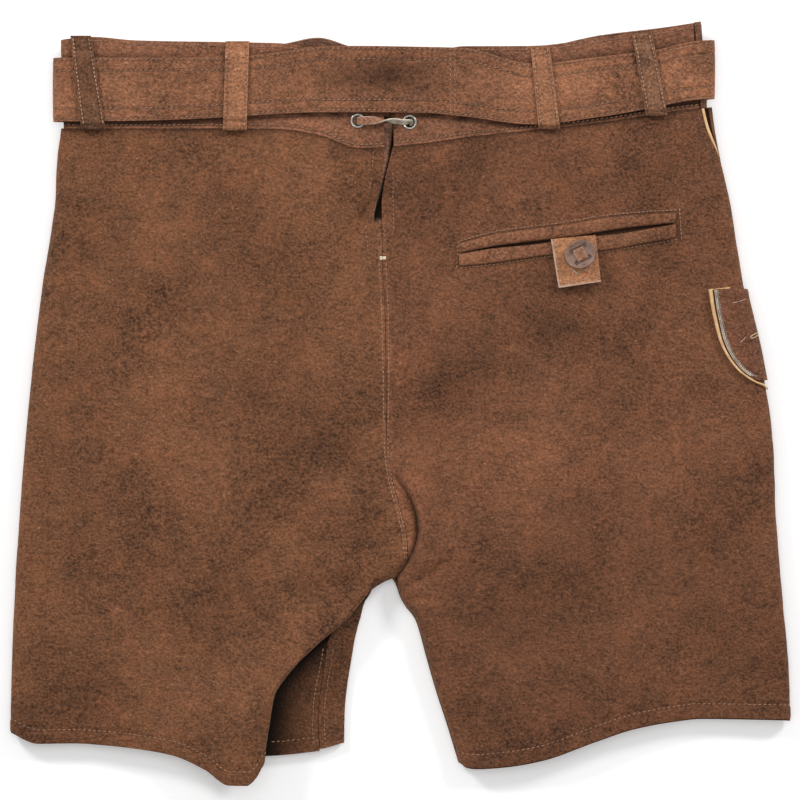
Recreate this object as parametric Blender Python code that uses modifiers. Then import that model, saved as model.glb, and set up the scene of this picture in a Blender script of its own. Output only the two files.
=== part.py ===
"""Short suede lederhosen laid flat with the back up, threaded with their own belt.

The floor is z = 0, the waist points to +Y and the wearer's right side is +X.
Tables are in millimetres, and every mesh is built in metres.
"""
import math

import bpy
import numpy as np
from mathutils import Vector
from mathutils.bvhtree import BVHTree

MM = 0.001

# ---- driving sizes, mm -------------------------------------------------
SUEDE = 1.4          # panel leather
BAND = 2.0           # waistband, two plies glued
STRAP = 2.8          # belt
LOOP = 1.3           # belt loop leather
TRIM = 1.2           # welts and knife pocket
TAB = 1.4            # pocket tab
GAP = 0.3            # clear distance at seams and between plies
BACK_WAIST_Z = 13.5  # middle of the back waistband
FRONT_WAIST_Z = 6.0  # middle of the front waistband
BODY_Z = 12.5        # middle of the back cloth over the seat
SEAM_Z = 5.2         # height of the side seams below the waist
EDGE_R = 8.0         # rounding of the side edges
WAIST_R = 5.0        # rounding of the waistband's left end
RIGHT_R = 11.0       # rounding of the right side just below the waist
CROTCH_V = 0.70      # share of a panel's length above the crotch
UPRIGHT = 9.0        # degrees each way over which a side edge stands upright
TOP_Y = {1: 192.6, -1: 178.3}    # side seam's top and hem, by side
HEM_Y = {1: -205.8, -1: -214.0}


class Table:
    """Rows under named columns, read with a smooth curve that never overshoots."""

    def __init__(self, names, *rows):
        self.names = names.split()
        self.rows = np.array(rows, float)

    def column(self, name):
        return self.rows[:, self.names.index(name)]

    def at(self, name, value, key=0):
        return smooth_curve(self.rows[:, key], self.column(name), value)

    def along(self, *names):
        """The named columns as functions of 0..1 along the rows."""
        points = np.stack([self.column(n) for n in names], 1)
        steps = np.linalg.norm(np.diff(points[:, :2], axis=0), axis=1)
        length = np.concatenate([[0.0], np.cumsum(steps)])
        length = length / length[-1]
        return lambda t: np.stack([smooth_curve(length, points[:, i], t)
                                   for i in range(points.shape[1])], -1)


def smooth_curve(xs, ys, x):
    x = np.asarray(x, float)
    if xs[0] > xs[-1]:
        xs = xs[::-1]
        ys = ys[::-1]
    h = np.diff(xs)
    slope = np.diff(ys) / h
    m = np.zeros(len(xs))
    for i in range(1, len(xs) - 1):
        if slope[i - 1] * slope[i] > 0:
            w1 = 2 * h[i] + h[i - 1]
            w2 = h[i] + 2 * h[i - 1]
            m[i] = (w1 + w2) / (w1 / slope[i - 1] + w2 / slope[i])
    m[0] = slope[0]
    m[-1] = slope[-1]
    x = np.clip(x, xs[0], xs[-1])
    i = np.clip(np.searchsorted(xs, x) - 1, 0, len(h) - 1)
    t = (x - xs[i]) / h[i]
    return ((2 * t**3 - 3 * t**2 + 1) * ys[i] + (t**3 - 2 * t**2 + t) * h[i] * m[i]
            + (3 * t**2 - 2 * t**3) * ys[i + 1] + (t**3 - t**2) * h[i] * m[i + 1])


def ease(t):
    t = np.clip(t, 0.0, 1.0)
    return t * t * (3 - 2 * t)


def mix(a, b, t):
    return a + (b - a) * t


# ---- outline tables ----------------------------------------------------
SIDES = Table(
    "y left right",
    (193, -221.0, 201.5),
    (178, -221.7, 203.4),
    (158, -224.3, 207.2),
    (132, -225.6, 213.2),
    (80, -233.4, 221.6),
    (28, -239.9, 233.4),
    (-24, -245.1, 241.2),
    (-76, -249.0, 243.4),
    (-128, -252.2, 247.7),
    (-180, -254.2, 252.0),
    (-225, -255.0, 253.0))

# The waist, from the left side to the right: the back waistband's top and seam, the front
# waistband's top, and both edges of the belt over the back.
WAIST = Table(
    "x top seam front_top belt_top belt_low",
    (-227, 235.1, 178.8, 234.0, 224.4, 182.8),
    (-201, 237.6, 178.8, 236.4, 224.4, 182.9),
    (-173, 235.3, 178.8, 234.2, 224.4, 183.2),
    (-115, 234.2, 178.8, 233.0, 224.6, 185.4),
    (-82, 233.5, 178.6, 233.0, 227.6, 187.6),
    (-55, 230.0, 174.9, 237.3, 231.3, 188.6),
    (-27, 224.0, 165.9, 230.0, 231.8, 188.6),
    (14, 226.0, 169.1, 228.0, 231.2, 188.2),
    (40, 231.4, 172.9, 229.5, 230.6, 185.9),
    (84, 231.7, 177.8, 230.5, 220.6, 180.9),
    (129, 237.2, 182.7, 239.0, 225.0, 185.8),
    (174, 243.2, 189.6, 244.6, 230.8, 193.6),
    (204, 248.6, 193.4, 249.4, 236.0, 197.8))

# Centre back seam and crotch, then the right leg's rolled inner edge.
CENTRE_LEFT = Table(
    "x y",
    (-11.9, 165.7), (-12.5, 152), (-14.0, 143), (-16.6, 133), (-19.5, 122.5), (-19.0, 119.5),
    (-14.2, 115), (-13.5, 108), (-13.2, 90), (-11.2, 59),
    (-9.9, -24), (-9.2, -35), (-4.8, -57), (-0.9, -69.5), (2.8, -85.8), (3.6, -100.8),
    (-4.5, -113.0))
CENTRE_RIGHT = Table(
    "x y",
    (-5.8, 165.7), (-8.6, 155), (-11.0, 145), (-12.4, 137), (-13.1, 129), (-13.0, 118),
    (-12.7, 106), (-12.4, 90), (-10.7, 59),
    (-9.4, -24), (-8.7, -35), (-4.3, -57), (-0.4, -69.5), (3.3, -85.8), (4.1, -100.8),
    (-4.0, -113.6))
INNER_RIGHT = Table(
    "x y",
    (-4.0, -113.6), (-2.3, -122.9), (1.6, -130.9), (8.1, -139.4), (10.6, -146),
    (15.5, -163.8), (22.5, -187.6), (28.5, -205.4), (36.6, -231.0))
HEM_RIGHT = Table(
    "x y",
    (30, -226.0), (37.4, -232.4), (42.4, -236.6), (48.4, -237.4), (67.3, -236.2),
    (90.2, -232.3), (127.6, -219.2), (150.5, -211.6), (176.3, -206.6), (195.3, -204.6),
    (253, -205.6))
HEM_LEFT = Table(
    "x y",
    (-256, -213.5), (-236.4, -221.7), (-213.5, -221.4), (-191.8, -222.8), (-165.8, -225.9),
    (-148.9, -229.2), (-128, -238.1), (-112, -248.2), (-100.8, -248.3), (-94.9, -243.4),
    (-89.7, -235.0), (-76.7, -228.2), (-54.6, -226.2), (-37.7, -222.0))
FRONT_HEM_LEFT = Table(
    "x y",
    (-256, -213.5), (-213.5, -220.4), (-165.8, -224.0), (-110, -226.8), (-54.6, -226.2),
    (-37.7, -222.0))

# The left leg's S-fold, a row for each section from the crotch to the hem: the crest edge,
# its height, how far the cloth tucks back, the lower ply, the inseam and the inner edge.
FOLD = Table(
    "crest_x crest_y rise under low seam_x seam_y edge_x",
    (-15.6, -113.9, 11.5, 0.8, 6.0, -17.2, -113.6, -16.0),
    (-22.6, -126.8, 14.0, 1.0, 5.4, -24.4, -126.8, -23.2),
    (-35.5, -141.0, 17.5, 8.0, 4.6, -39.6, -142.0, -26.8),
    (-54.6, -156.5, 20.5, 8.0, 4.4, -49.0, -156.0, -30.6),
    (-70.0, -171.6, 23.0, 8.0, 4.4, -51.0, -171.0, -32.9),
    (-83.0, -190.7, 25.0, 9.0, 4.4, -54.0, -190.0, -35.6),
    (-86.0, -208.7, 26.0, 9.0, 4.4, -55.2, -208.0, -37.2),
    (-89.7, -235.0, 26.0, 8.0, 4.4, -54.0, -226.2, -37.7))

# Soft ridges and troughs of the back cloth: a line, its width and its height.
RIDGES = Table(
    "x0 y0 x1 y1 width height",
    (-150, 90, -120, -60, 70, 3.0),
    (60, 70, 130, -60, 75, 2.6),
    (-10, 70, -12, -20, 22, -2.2),
    (-52, -36, -10, -54, 12, -2.4),
    (0, -26, 40, -6, 13, -2.6),
    (8, -58, 12, -100, 9, 4.2),
    (-120, -120, -112, -240, 34, 3.6),
    (-200, -100, -215, -215, 28, -2.4),
    (95, -110, 110, -225, 50, 2.2),
    (190, -120, 200, -200, 30, -2.0),
    (-24, 128, -26, 108, 7, -1.6))

# Belt loops over the back: centre of the top and of the foot, and both widths.
BACK_LOOPS = Table(
    "top_x top_y foot_x foot_y top_w foot_w",
    (-208.7, 238.6, -200.5, 178.4, 13.4, 16.0),
    (-106.8, 235.0, -108.6, 177.6, 15.6, 15.6),
    (89.7, 231.4, 95.6, 178.6, 12.6, 14.2),
    (155.7, 240.6, 165.3, 187.2, 13.2, 14.2))
FRONT_LOOPS = Table(
    "top_x top_y foot_x foot_y top_w foot_w",
    (-150, 233.0, -150, 180.5, 14, 14),
    (120, 236.0, 120, 188.5, 14, 14))

# Knife pocket on the wearer's right thigh: its outer edge, and the cord's half width.
KNIFE = Table(
    "y x bead",
    (74.0, 200.2, 1.9), (60.0, 202.4, 1.8), (49.4, 204.7, 1.7), (41.2, 207.0, 1.5),
    (30.7, 211.9, 1.3), (22.1, 218.3, 1.2), (16.9, 224.6, 1.1), (11.5, 233.4, 1.0))
KNIFE_TOP = 74.0
KNIFE_LOW = 11.5

# Welted back pocket: the top stitch line, the opening and the lower seam.
WELT = Table(
    "x top mouth low",
    (36.4, 104.6, 97.2, 88.6), (60, 110.8, 101.4, 91.0), (82.6, 114.1, 104.0, 94.3),
    (106, 117.0, 107.0, 97.2), (129, 121.0, 110.2, 98.8), (152, 123.5, 113.4, 102.6),
    (178, 125.0, 117.0, 107.2))
WELT_ENDS = (37.0, 178.0)
MOUTH = 1.5          # gap between the welts

# Side seam on the right, where the front wraps round to the top below the waist.
SEAM_TURN = Table("y angle", (150, 0), (160, 12), (172, 38), (182, 52), (194, 60))
FRONT_CENTRE = -8.0


# ---- heights -----------------------------------------------------------
def lift(x):
    """The front waistband rises over the belt's lap and buckle."""
    lap = ease((np.asarray(x) + 136) / 16) * ease((-6 - np.asarray(x)) / 18)
    return 4.2 * np.exp(-((np.asarray(x) + 8) / 45.0) ** 2) + 1.6 * lap


def back_waist(x):
    return BACK_WAIST_Z + 3.8 * np.exp(-((np.asarray(x) + 10) / 60.0) ** 2)


def front_waist(x):
    return FRONT_WAIST_Z + lift(x)


def front_seam(x):
    return mix(178.5, 192.5, (np.asarray(x) + 221) / 421.0)


def seam_height(y):
    low = (BACK_WAIST_Z + FRONT_WAIST_Z) / 2
    return mix(SEAM_Z, low, ease((np.asarray(y) - 128) / 50.0))


def ridges(x, y):
    total = np.zeros(np.broadcast(x, y).shape)
    for x0, y0, x1, y1, width, height in RIDGES.rows:
        ex, ey = x1 - x0, y1 - y0
        t = np.clip(((x - x0) * ex + (y - y0) * ey) / (ex * ex + ey * ey), 0, 1)
        d2 = (x - x0 - t * ex) ** 2 + (y - y0 - t * ey) ** 2
        total = total + height * np.exp(-d2 / width ** 2)
    return total


def back_height(x, y):
    """Middle of the back cloth, away from its rounded edges."""
    x = np.asarray(x, float)
    y = np.asarray(y, float)
    body = BODY_Z + ridges(x, y) - 2.0 * ease((-120 - y) / 100.0)
    top = back_waist(x) - 0.3
    return mix(body, top, ease(1 - (WAIST.at("seam", x) - y) / 48.0))


def front_height(x, y):
    """Middle of the front cloth, flat on the floor below the waist and the pocket."""
    x = np.asarray(x, float)
    y = np.asarray(y, float)
    up = ease(1 - (front_seam(x) - y) / 48.0)
    pocket = ease((x - 148) / 20.0) * ease((y + 12) / 14.0) * ease((98 - y) / 14.0)
    flat = SUEDE / 2 + (TRIM + GAP + 0.75) * pocket
    return mix(flat, front_waist(x) - 0.3, up)


def outline(y, side):
    """Outermost middle line of the cloth at a side, +1 right and -1 left."""
    name = "right" if side > 0 else "left"
    return SIDES.at(name, y) - side * SUEDE / 2


# ---- mesh builders -----------------------------------------------------
def start():
    for ob in list(bpy.data.objects):
        bpy.data.objects.remove(ob, do_unlink=True)
    parts = bpy.data.collections.new("lederhosen")
    bpy.context.scene.collection.children.link(parts)
    return parts


PARTS = start()


def material(name, colour, roughness=0.9, metallic=0.0):
    mat = bpy.data.materials.new(name)
    mat.use_nodes = True
    shader = mat.node_tree.nodes["Principled BSDF"]
    shader.inputs["Base Color"].default_value = (*colour, 1)
    shader.inputs["Roughness"].default_value = roughness
    shader.inputs["Metallic"].default_value = metallic
    return mat


def add_object(name, verts, faces, colour, roughness=0.9, metallic=0.0):
    mesh = bpy.data.meshes.new(name)
    mesh.from_pydata([tuple(float(c) * MM for c in v) for v in verts], [], faces)
    mesh.validate()
    mesh.update()
    ob = bpy.data.objects.new(name, mesh)
    ob.data.materials.append(material(name, colour, roughness, metallic))
    PARTS.objects.link(ob)
    return ob


def sheet(name, grid, thickness, colour):
    """Cloth wall centred on a grid of points, rows by columns."""
    rows, cols = grid.shape[:2]
    faces = [(r * cols + c, r * cols + c + 1, (r + 1) * cols + c + 1, (r + 1) * cols + c)
             for r in range(rows - 1) for c in range(cols - 1)]
    ob = add_object(name, grid.reshape(-1, 3), faces, colour)
    wall = ob.modifiers.new("wall", "SOLIDIFY")
    wall.thickness = thickness * MM
    wall.offset = 0.0
    wall.use_even_offset = False
    return ob


def bar(name, centres, across, up, colour, roughness=0.9, metallic=0.0, closed=False):
    """Loft of four-cornered sections: centre, half width vector and half thickness vector."""
    centres, across, up = (np.asarray(a, float) for a in (centres, across, up))
    rings = np.stack([centres - across - up, centres + across - up,
                      centres + across + up, centres - across + up], 1)
    count = len(rings)
    faces = []
    for r in range(count if closed else count - 1):
        a, b = r * 4, ((r + 1) % count) * 4
        faces += [(a + i, a + (i + 1) % 4, b + (i + 1) % 4, b + i) for i in range(4)]
    if not closed:
        last = (count - 1) * 4
        faces += [(3, 2, 1, 0), (last, last + 1, last + 2, last + 3)]
    ob = add_object(name, rings.reshape(-1, 3), faces, colour, roughness, metallic)
    if signed_volume(ob) < 0:
        ob.data.flip_normals()
    return ob


def signed_volume(ob):
    total = 0.0
    verts = ob.data.vertices
    for face in ob.data.polygons:
        first = verts[face.vertices[0]].co
        for i in range(1, len(face.vertices) - 1):
            b = verts[face.vertices[i]].co
            c = verts[face.vertices[i + 1]].co
            total += first.dot(b.cross(c))
    return total


def round_bar(name, points, radii, colour, roughness=0.6, metallic=0.0, cyclic=False, res=2):
    """Round rod or cord along points, with its own radius at each."""
    curve = bpy.data.curves.new(name, "CURVE")
    curve.dimensions = "3D"
    spline = curve.splines.new("POLY")
    spline.points.add(len(points) - 1)
    radii = np.broadcast_to(radii, len(points))
    for point, place, radius in zip(spline.points, points, radii):
        point.co = (*(float(c) * MM for c in place), 1)
        point.radius = float(radius)
    spline.use_cyclic_u = cyclic
    curve.bevel_depth = MM
    curve.bevel_resolution = res
    curve.use_fill_caps = True
    ob = bpy.data.objects.new(name, curve)
    curve.materials.append(material(name, colour, roughness, metallic))
    PARTS.objects.link(ob)
    return ob


def frames(points):
    """Unit tangents along a line of points."""
    step = np.diff(np.asarray(points, float), axis=0)
    step = step / np.linalg.norm(step, axis=1)[:, None]
    tangent = np.concatenate([step[:1], step[:-1] + step[1:], step[-1:]])
    return tangent / np.linalg.norm(tangent, axis=1)[:, None]


# ---- side edges --------------------------------------------------------
def edge_point(x, y, side, angle, radius=EDGE_R, gap=0.0):
    """Point on the rounded side: angle 0 is the outermost line, +90 the back, -90 the front."""
    a = np.radians(angle)
    bend = np.radians(np.maximum(np.abs(angle) - UPRIGHT, 0) * 90 / (90 - UPRIGHT))
    px = x - side * radius * (1 - np.cos(bend))
    zm = seam_height(y)
    up = mix(zm, back_height(px, y), np.sin(a))
    down = mix(zm, front_height(px, y), -np.sin(a))
    return np.stack([px, y + 0 * px, np.where(a >= 0, up, down) + gap], -1)


def seam_angle(gap, y, side, front):
    """Angle at which a panel starts, so that it clears the seam line by gap."""
    x = outline(y, side) - side * EDGE_R
    wall = seam_height(y) - front_height(x, y) if front else back_height(x, y) - seam_height(y)
    return math.degrees(math.asin(gap / float(wall)))


def edge_angles(first, last, count):
    sign = 1 if last > first else -1
    near = first * sign >= 0 and abs(first) < UPRIGHT - 5
    second = UPRIGHT * sign if near else first + sign * min(12.0, abs(last - first) / 5)
    return np.concatenate([[first], np.linspace(second, last, count - 1)])


# ---- panels ------------------------------------------------------------
SUEDE_BROWN = (0.17, 0.072, 0.034)
BELT_BROWN = (0.23, 0.10, 0.05)
TAN = (0.35, 0.155, 0.083)
GOLD = (0.70, 0.45, 0.22)
PALE = (0.62, 0.56, 0.50)
HORN = (0.27, 0.16, 0.12)
SILVER = (0.78, 0.78, 0.80)

V_ROWS = np.concatenate([np.linspace(0, 0.1, 4)[:-1], np.linspace(0.1, 0.66, 8),
                         np.linspace(CROTCH_V, 0.82, 6)[:-1], np.linspace(0.82, 0.97, 5)[:-1],
                         (0.97, 1.0)])


def back_right():
    inner = INNER_RIGHT.along("x", "y")
    grid = []
    for v in V_ROWS:
        leg = v > CROTCH_V
        yo = mix(TOP_Y[1], HEM_Y[1], v)
        yc = mix(165.7, -113.6, v / CROTCH_V)
        end = inner((v - CROTCH_V) / (1 - CROTCH_V)) if leg else \
            np.array((float(CENTRE_RIGHT.at("x", yc, 1)), yc))
        roll = closing(v)
        end = end + np.array((SUEDE / 2 + 0.5, 0)) * roll
        turn = float(SEAM_TURN.at("angle", yo)) if yo > 150 else 0.0
        radius = mix(EDGE_R, RIGHT_R, float(ease((yo - 130) / 50)))
        piping = 1.25 if yo > 60 else 0.2
        angles = edge_angles(turn + seam_angle(piping, yo, 1, False), 90, 6)
        xo = outline(yo, 1)
        row = [edge_point(xo, yo, 1, a, radius) for a in angles]
        x_start = xo - radius
        steps = np.linspace(0, 1, 13)[1:]
        r_in = 6.0
        xs = mix(x_start, end[0] + r_in * roll, steps)
        ws = (xo - xs) / (xo - end[0])
        row += [np.array([x, mix(yo, end[1], w), np.nan]) for x, w in zip(xs, ws)]
        for a in (62, 36, 14, 2.5):
            x = end[0] + (r_in * (1 - math.cos(math.radians(a)))) * roll
            row.append(np.array([x + (1 - roll) * 0.02 * a, end[1], -a]))
        row[-5][0] = max(row[-5][0], row[-4][0] + 1.2)
        grid.append(row)
    grid = np.array(grid)
    correct_rows(grid, HEM_RIGHT, 0.2)
    for r, v in enumerate(V_ROWS):
        roll = closing(v)
        for c in range(6, grid.shape[1]):
            x, y, tag = grid[r, c]
            z = back_height(x, y)
            if tag < 0:
                low = mix(z, 5.4, roll)
                z = mix(low, z, math.sin(math.radians(-tag)))
            grid[r, c, 2] = z
    return sheet("back_right", grid, SUEDE, SUEDE_BROWN)


def closing(v):
    """How far the back and the front have come together above the crotch."""
    return float(ease((v - 0.65) / 0.05))


def correct_rows(grid, hem, rise, kept=0):
    """Bring the first row to the waist seam and the last to the hem, fading between.

    The last kept columns lie in the leg's fold. The first two of them turn with the outer ply,
    and the others hold their own hem.
    """
    by_centre = np.exp(-((grid[0, :, 0] + 34) / 20) ** 2)
    top_error = WAIST.at("seam", grid[0, :, 0]) - GAP - 1.1 * by_centre - grid[0, :, 1]
    hem_error = hem.at("y", grid[-1, :, 0]) + rise - grid[-1, :, 1]
    if kept:
        hem_error[-kept:] *= np.array([1.0, 0.6] + [0.0] * (kept - 2))
    for r, v in enumerate(V_ROWS):
        grid[r, :, 1] += top_error * (1 - v) ** 5 + hem_error * v ** 7


def back_left():
    fold = FOLD.along("crest_x", "crest_y", "rise", "under", "low", "seam_x", "seam_y")
    grid = []
    turns = (0.0, 0.10, 0.24, 0.42, 0.62, 0.78, 0.90, 1.0)
    for v in V_ROWS:
        yo = mix(TOP_Y[-1], HEM_Y[-1], v)
        radius = mix(EDGE_R, WAIST_R + 1, float(ease((yo - 130) / 50)))
        xo = outline(yo, -1)
        angles = edge_angles(seam_angle(0.2, yo, -1, False), 90, 6)
        row = [edge_point(xo, yo, -1, a, radius) for a in angles]
        x_start = xo + radius
        u = float(np.clip((v - CROTCH_V) / (1 - CROTCH_V), 0, 1))
        depth = float(ease((v - CROTCH_V) / 0.02))
        yc = mix(165.7, -113.0, min(v / CROTCH_V, 1.0))
        end = (float(CENTRE_LEFT.at("x", yc, 1)), yc)
        cx, cy, rise, under, low, sx, sy = fold(u)
        cx -= SUEDE / 2
        bend = min(4.0, (rise - low) / 2.6)
        tuck = cx - under
        hang = rise - bend * 1.8
        s_shape = [
            (cx - bend, cy, rise), (cx - bend * 0.3, cy, rise - bend * 0.28),
            (cx, cy, rise - bend), (cx - bend * 0.3, cy, rise - bend * 1.75),
            (cx - under * 0.62, mix(cy, sy, 0.3), mix(hang, low, 0.35)),
            (tuck, mix(cy, sy, 0.5), mix(hang, low, 0.68)),
            (mix(tuck, sx, 0.5), mix(cy, sy, 0.7), low + 0.25),
            (sx, sy, low)]
        flat = []
        for t in turns:
            x = mix(end[0] - 17.0, end[0], t)
            y = mix(yo, end[1], (x - xo) / (end[0] - xo))
            z = float(back_height(x, y))
            flat.append((x, y, mix(z, mix(z, 6.8, t ** 2.5), closing(v))))
        tail = [mix(np.array(f), np.array(s), depth) for f, s in zip(flat, s_shape)]
        stop = tail[0]
        for t in np.linspace(0, 1, 13)[1:-1]:
            x = mix(x_start, stop[0], t)
            y = mix(yo, stop[1], (x - xo) / (stop[0] - xo))
            row.append(np.array([x, y, np.nan]))
        grid.append(row + tail)
    grid = np.array(grid)
    tail_z = grid[:, -8:, 2].copy()
    correct_rows(grid, HEM_LEFT, 0.2, kept=8)
    for r, v in enumerate(V_ROWS):
        depth = float(ease((v - CROTCH_V) / 0.02))
        crest = grid[r, -8]
        for c in range(6, grid.shape[1] - 8):
            x, y = grid[r, c, :2]
            z = float(back_height(x, y))
            near = math.exp(-((crest[0] - x) / 34.0) ** 2)
            z += (tail_z[r, 0] - float(back_height(crest[0], crest[1]))) * near * depth
            grid[r, c, 2] = z
    return sheet("back_left", grid, SUEDE, SUEDE_BROWN)


def front_panel(side):
    """Front cloth: flat on the floor, turned up at the side and the inseam."""
    inner = INNER_RIGHT.along("x", "y")
    fold = FOLD.along("crest_x", "crest_y", "edge_x", "low", "seam_x", "seam_y")
    grid = []
    for v in V_ROWS:
        yo = mix(TOP_Y[side], HEM_Y[side], v)
        radius = mix(EDGE_R, RIGHT_R if side > 0 else WAIST_R + 1, float(ease((yo - 130) / 50)))
        xo = outline(yo, side)
        turn = float(SEAM_TURN.at("angle", yo)) if (side > 0 and yo > 150) else 0.0
        piping = 1.25 if (side > 0 and yo > 60) else 0.2
        clear = seam_angle(piping, yo, side, True) * (1.35 if turn > 1 else 1.0)
        angles = edge_angles(turn - clear, -90, 6)
        row = [edge_point(xo, yo, side, a, radius) for a in angles]
        x_start = xo - side * radius
        u = float(np.clip((v - CROTCH_V) / (1 - CROTCH_V), 0, 1))
        depth = float(ease((v - CROTCH_V) / 0.02))
        cf = (FRONT_CENTRE + side * GAP / 2, mix(front_seam(FRONT_CENTRE) - GAP, -112.6,
                                                 min(v / CROTCH_V, 1.0)))
        if side > 0:
            ex, ey = inner(u)
            ex += SUEDE / 2
            tail = [(ex + 4.5, ey, 0.7), (ex + 1.6, ey, 1.0), (ex + 0.4, ey, 2.2),
                    (ex, ey, 4.9)]
        else:
            _, ey, ex, low, sx, sy = fold(u)
            ex -= SUEDE / 2
            level = float(np.clip((ex - sx) / 6.0, 0, 1))
            turn_in = 7.0 * level * (1 - level)
            tail = [(ex - 4.0, ey, 0.7), (ex - 0.5, ey, 1.4), (ex, ey, mix(0.7, low, 0.6)),
                    (sx + 0.7 * level + turn_in, sy, low - 0.5 * (1 - level) - turn_in)]
        spread = side * (0.6 * closing(v) + 0.35 * float(ease((v - 0.45) / 0.1)))
        flat = [(cf[0] + spread + side * d, cf[1],
                 float(front_height(cf[0], cf[1])) + up * closing(v))
                for d, up in ((6.0, 0.0), (3.4, 0.4), (1.6, 1.6), (0.0, 3.4))]
        tail = [mix(np.array(f), np.array(s), depth) for f, s in zip(flat, tail)]
        for t in np.linspace(0, 1, 6)[1:-1]:
            x = mix(x_start, tail[0][0], t)
            y = mix(yo, tail[0][1], (x - xo) / (tail[0][0] - xo))
            row.append(np.array([x, y, float(front_height(x, y))]))
        grid.append(row + tail)
    grid = np.array(grid)
    top_error = front_seam(grid[0, :, 0]) - GAP - grid[0, :, 1]
    hem = HEM_RIGHT if side > 0 else FRONT_HEM_LEFT
    drop = -1.2 if side > 0 else 1.0
    hem_error = hem.at("y", grid[-1, :, 0]) + drop - grid[-1, :, 1]
    for r, v in enumerate(V_ROWS):
        grid[r, :, 1] += top_error * (1 - v) ** 5 + hem_error * v ** 7
    for r in range(len(grid)):
        for c in range(6, grid.shape[1] - 4):
            grid[r, c, 2] = front_height(grid[r, c, 0], grid[r, c, 1])
    name = "front_right" if side > 0 else "front_left"
    return sheet(name, grid, SUEDE, SUEDE_BROWN)


# ---- waist -------------------------------------------------------------
def waist_side(y, side):
    """Outermost line of the waistband at a side, from its seam to its top."""
    t = (y - 178) / 56.0
    return mix(199.6, 195.6, t) - BAND / 2 if side > 0 else mix(-220.0, -222.0, t) + BAND / 2


def waistband(name, side, end_x, back):
    top, seam = ("top", "seam") if back else ("front_top", None)
    grid = []
    for t in (0.0, 1.0):
        row = []
        base = 178 if side < 0 else 192
        xs = waist_side(mix(base, base + 56, t), side)
        turn = 60.0 if side > 0 else 0.0
        wide = WAIST_R if side < 0 else 9.0
        goal = 90 if back else -90
        first = turn + 3.0 * math.copysign(1, goal)
        for a in edge_angles(first, goal, 6 if back else 8):
            bend = math.radians(max(abs(a) - UPRIGHT, 0) * 90 / (90 - UPRIGHT))
            row.append((xs - side * wide * (1 - math.cos(bend)), a))
        for x in np.linspace(row[-1][0], end_x, 17)[1:]:
            row.append((x, goal))
        line = []
        for x, a in row:
            y_top = float(WAIST.at(top, x))
            y_low = float(WAIST.at(seam, x)) if back else float(front_seam(x))
            zm = (BACK_WAIST_Z + FRONT_WAIST_Z) / 2
            z_back = float(back_waist(x))
            z_front = float(front_waist(x))
            s = math.sin(math.radians(a))
            z = mix(zm, z_back, s) if a >= 0 else mix(zm, z_front, -s)
            line.append((x, mix(y_low, y_top, t), z))
        grid.append(line)
    return sheet(name, np.array(grid), BAND, SUEDE_BROWN)


BELT_LEFT = -226.9
BELT_RIGHT = 203.4
TIP_X = -105.0
HEEL_X = -22.0
FAR_X = 10.0
HEEL_Z = 5.9
UNDER_SAG = 4.5      # the hidden run sags, so that the buckle stays below the waist's edge


def belt_height(x):
    return back_waist(x) + BAND / 2 + GAP + STRAP / 2


def belt_edges(x, front):
    low = WAIST.at("belt_low", x)
    top = WAIST.at("belt_top", x)
    if front:
        t = (x - BELT_LEFT) / (BELT_RIGHT - BELT_LEFT)
        sag = UNDER_SAG * np.sin(np.pi * np.clip(t, 0, 1))
        low = mix(182.8, 197.8, t) - sag
        top = mix(224.4, 236.0, t) - sag
    return low, top


def belt_wrap(side):
    """Half round at a side, from the back run to the front run."""
    high = float(belt_height(BELT_RIGHT if side > 0 else BELT_LEFT))
    low = FRONT_WAIST_Z - BAND / 2 - GAP - STRAP / 2
    radius = (high - low) / 2
    edge = (BELT_RIGHT if side > 0 else BELT_LEFT) - side * STRAP / 2
    cx = edge - side * radius
    cz = (high + low) / 2
    angles = np.radians(np.linspace(90, -90, 11))
    return [(cx + side * radius * math.cos(a), cz + radius * math.sin(a)) for a in angles]


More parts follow.
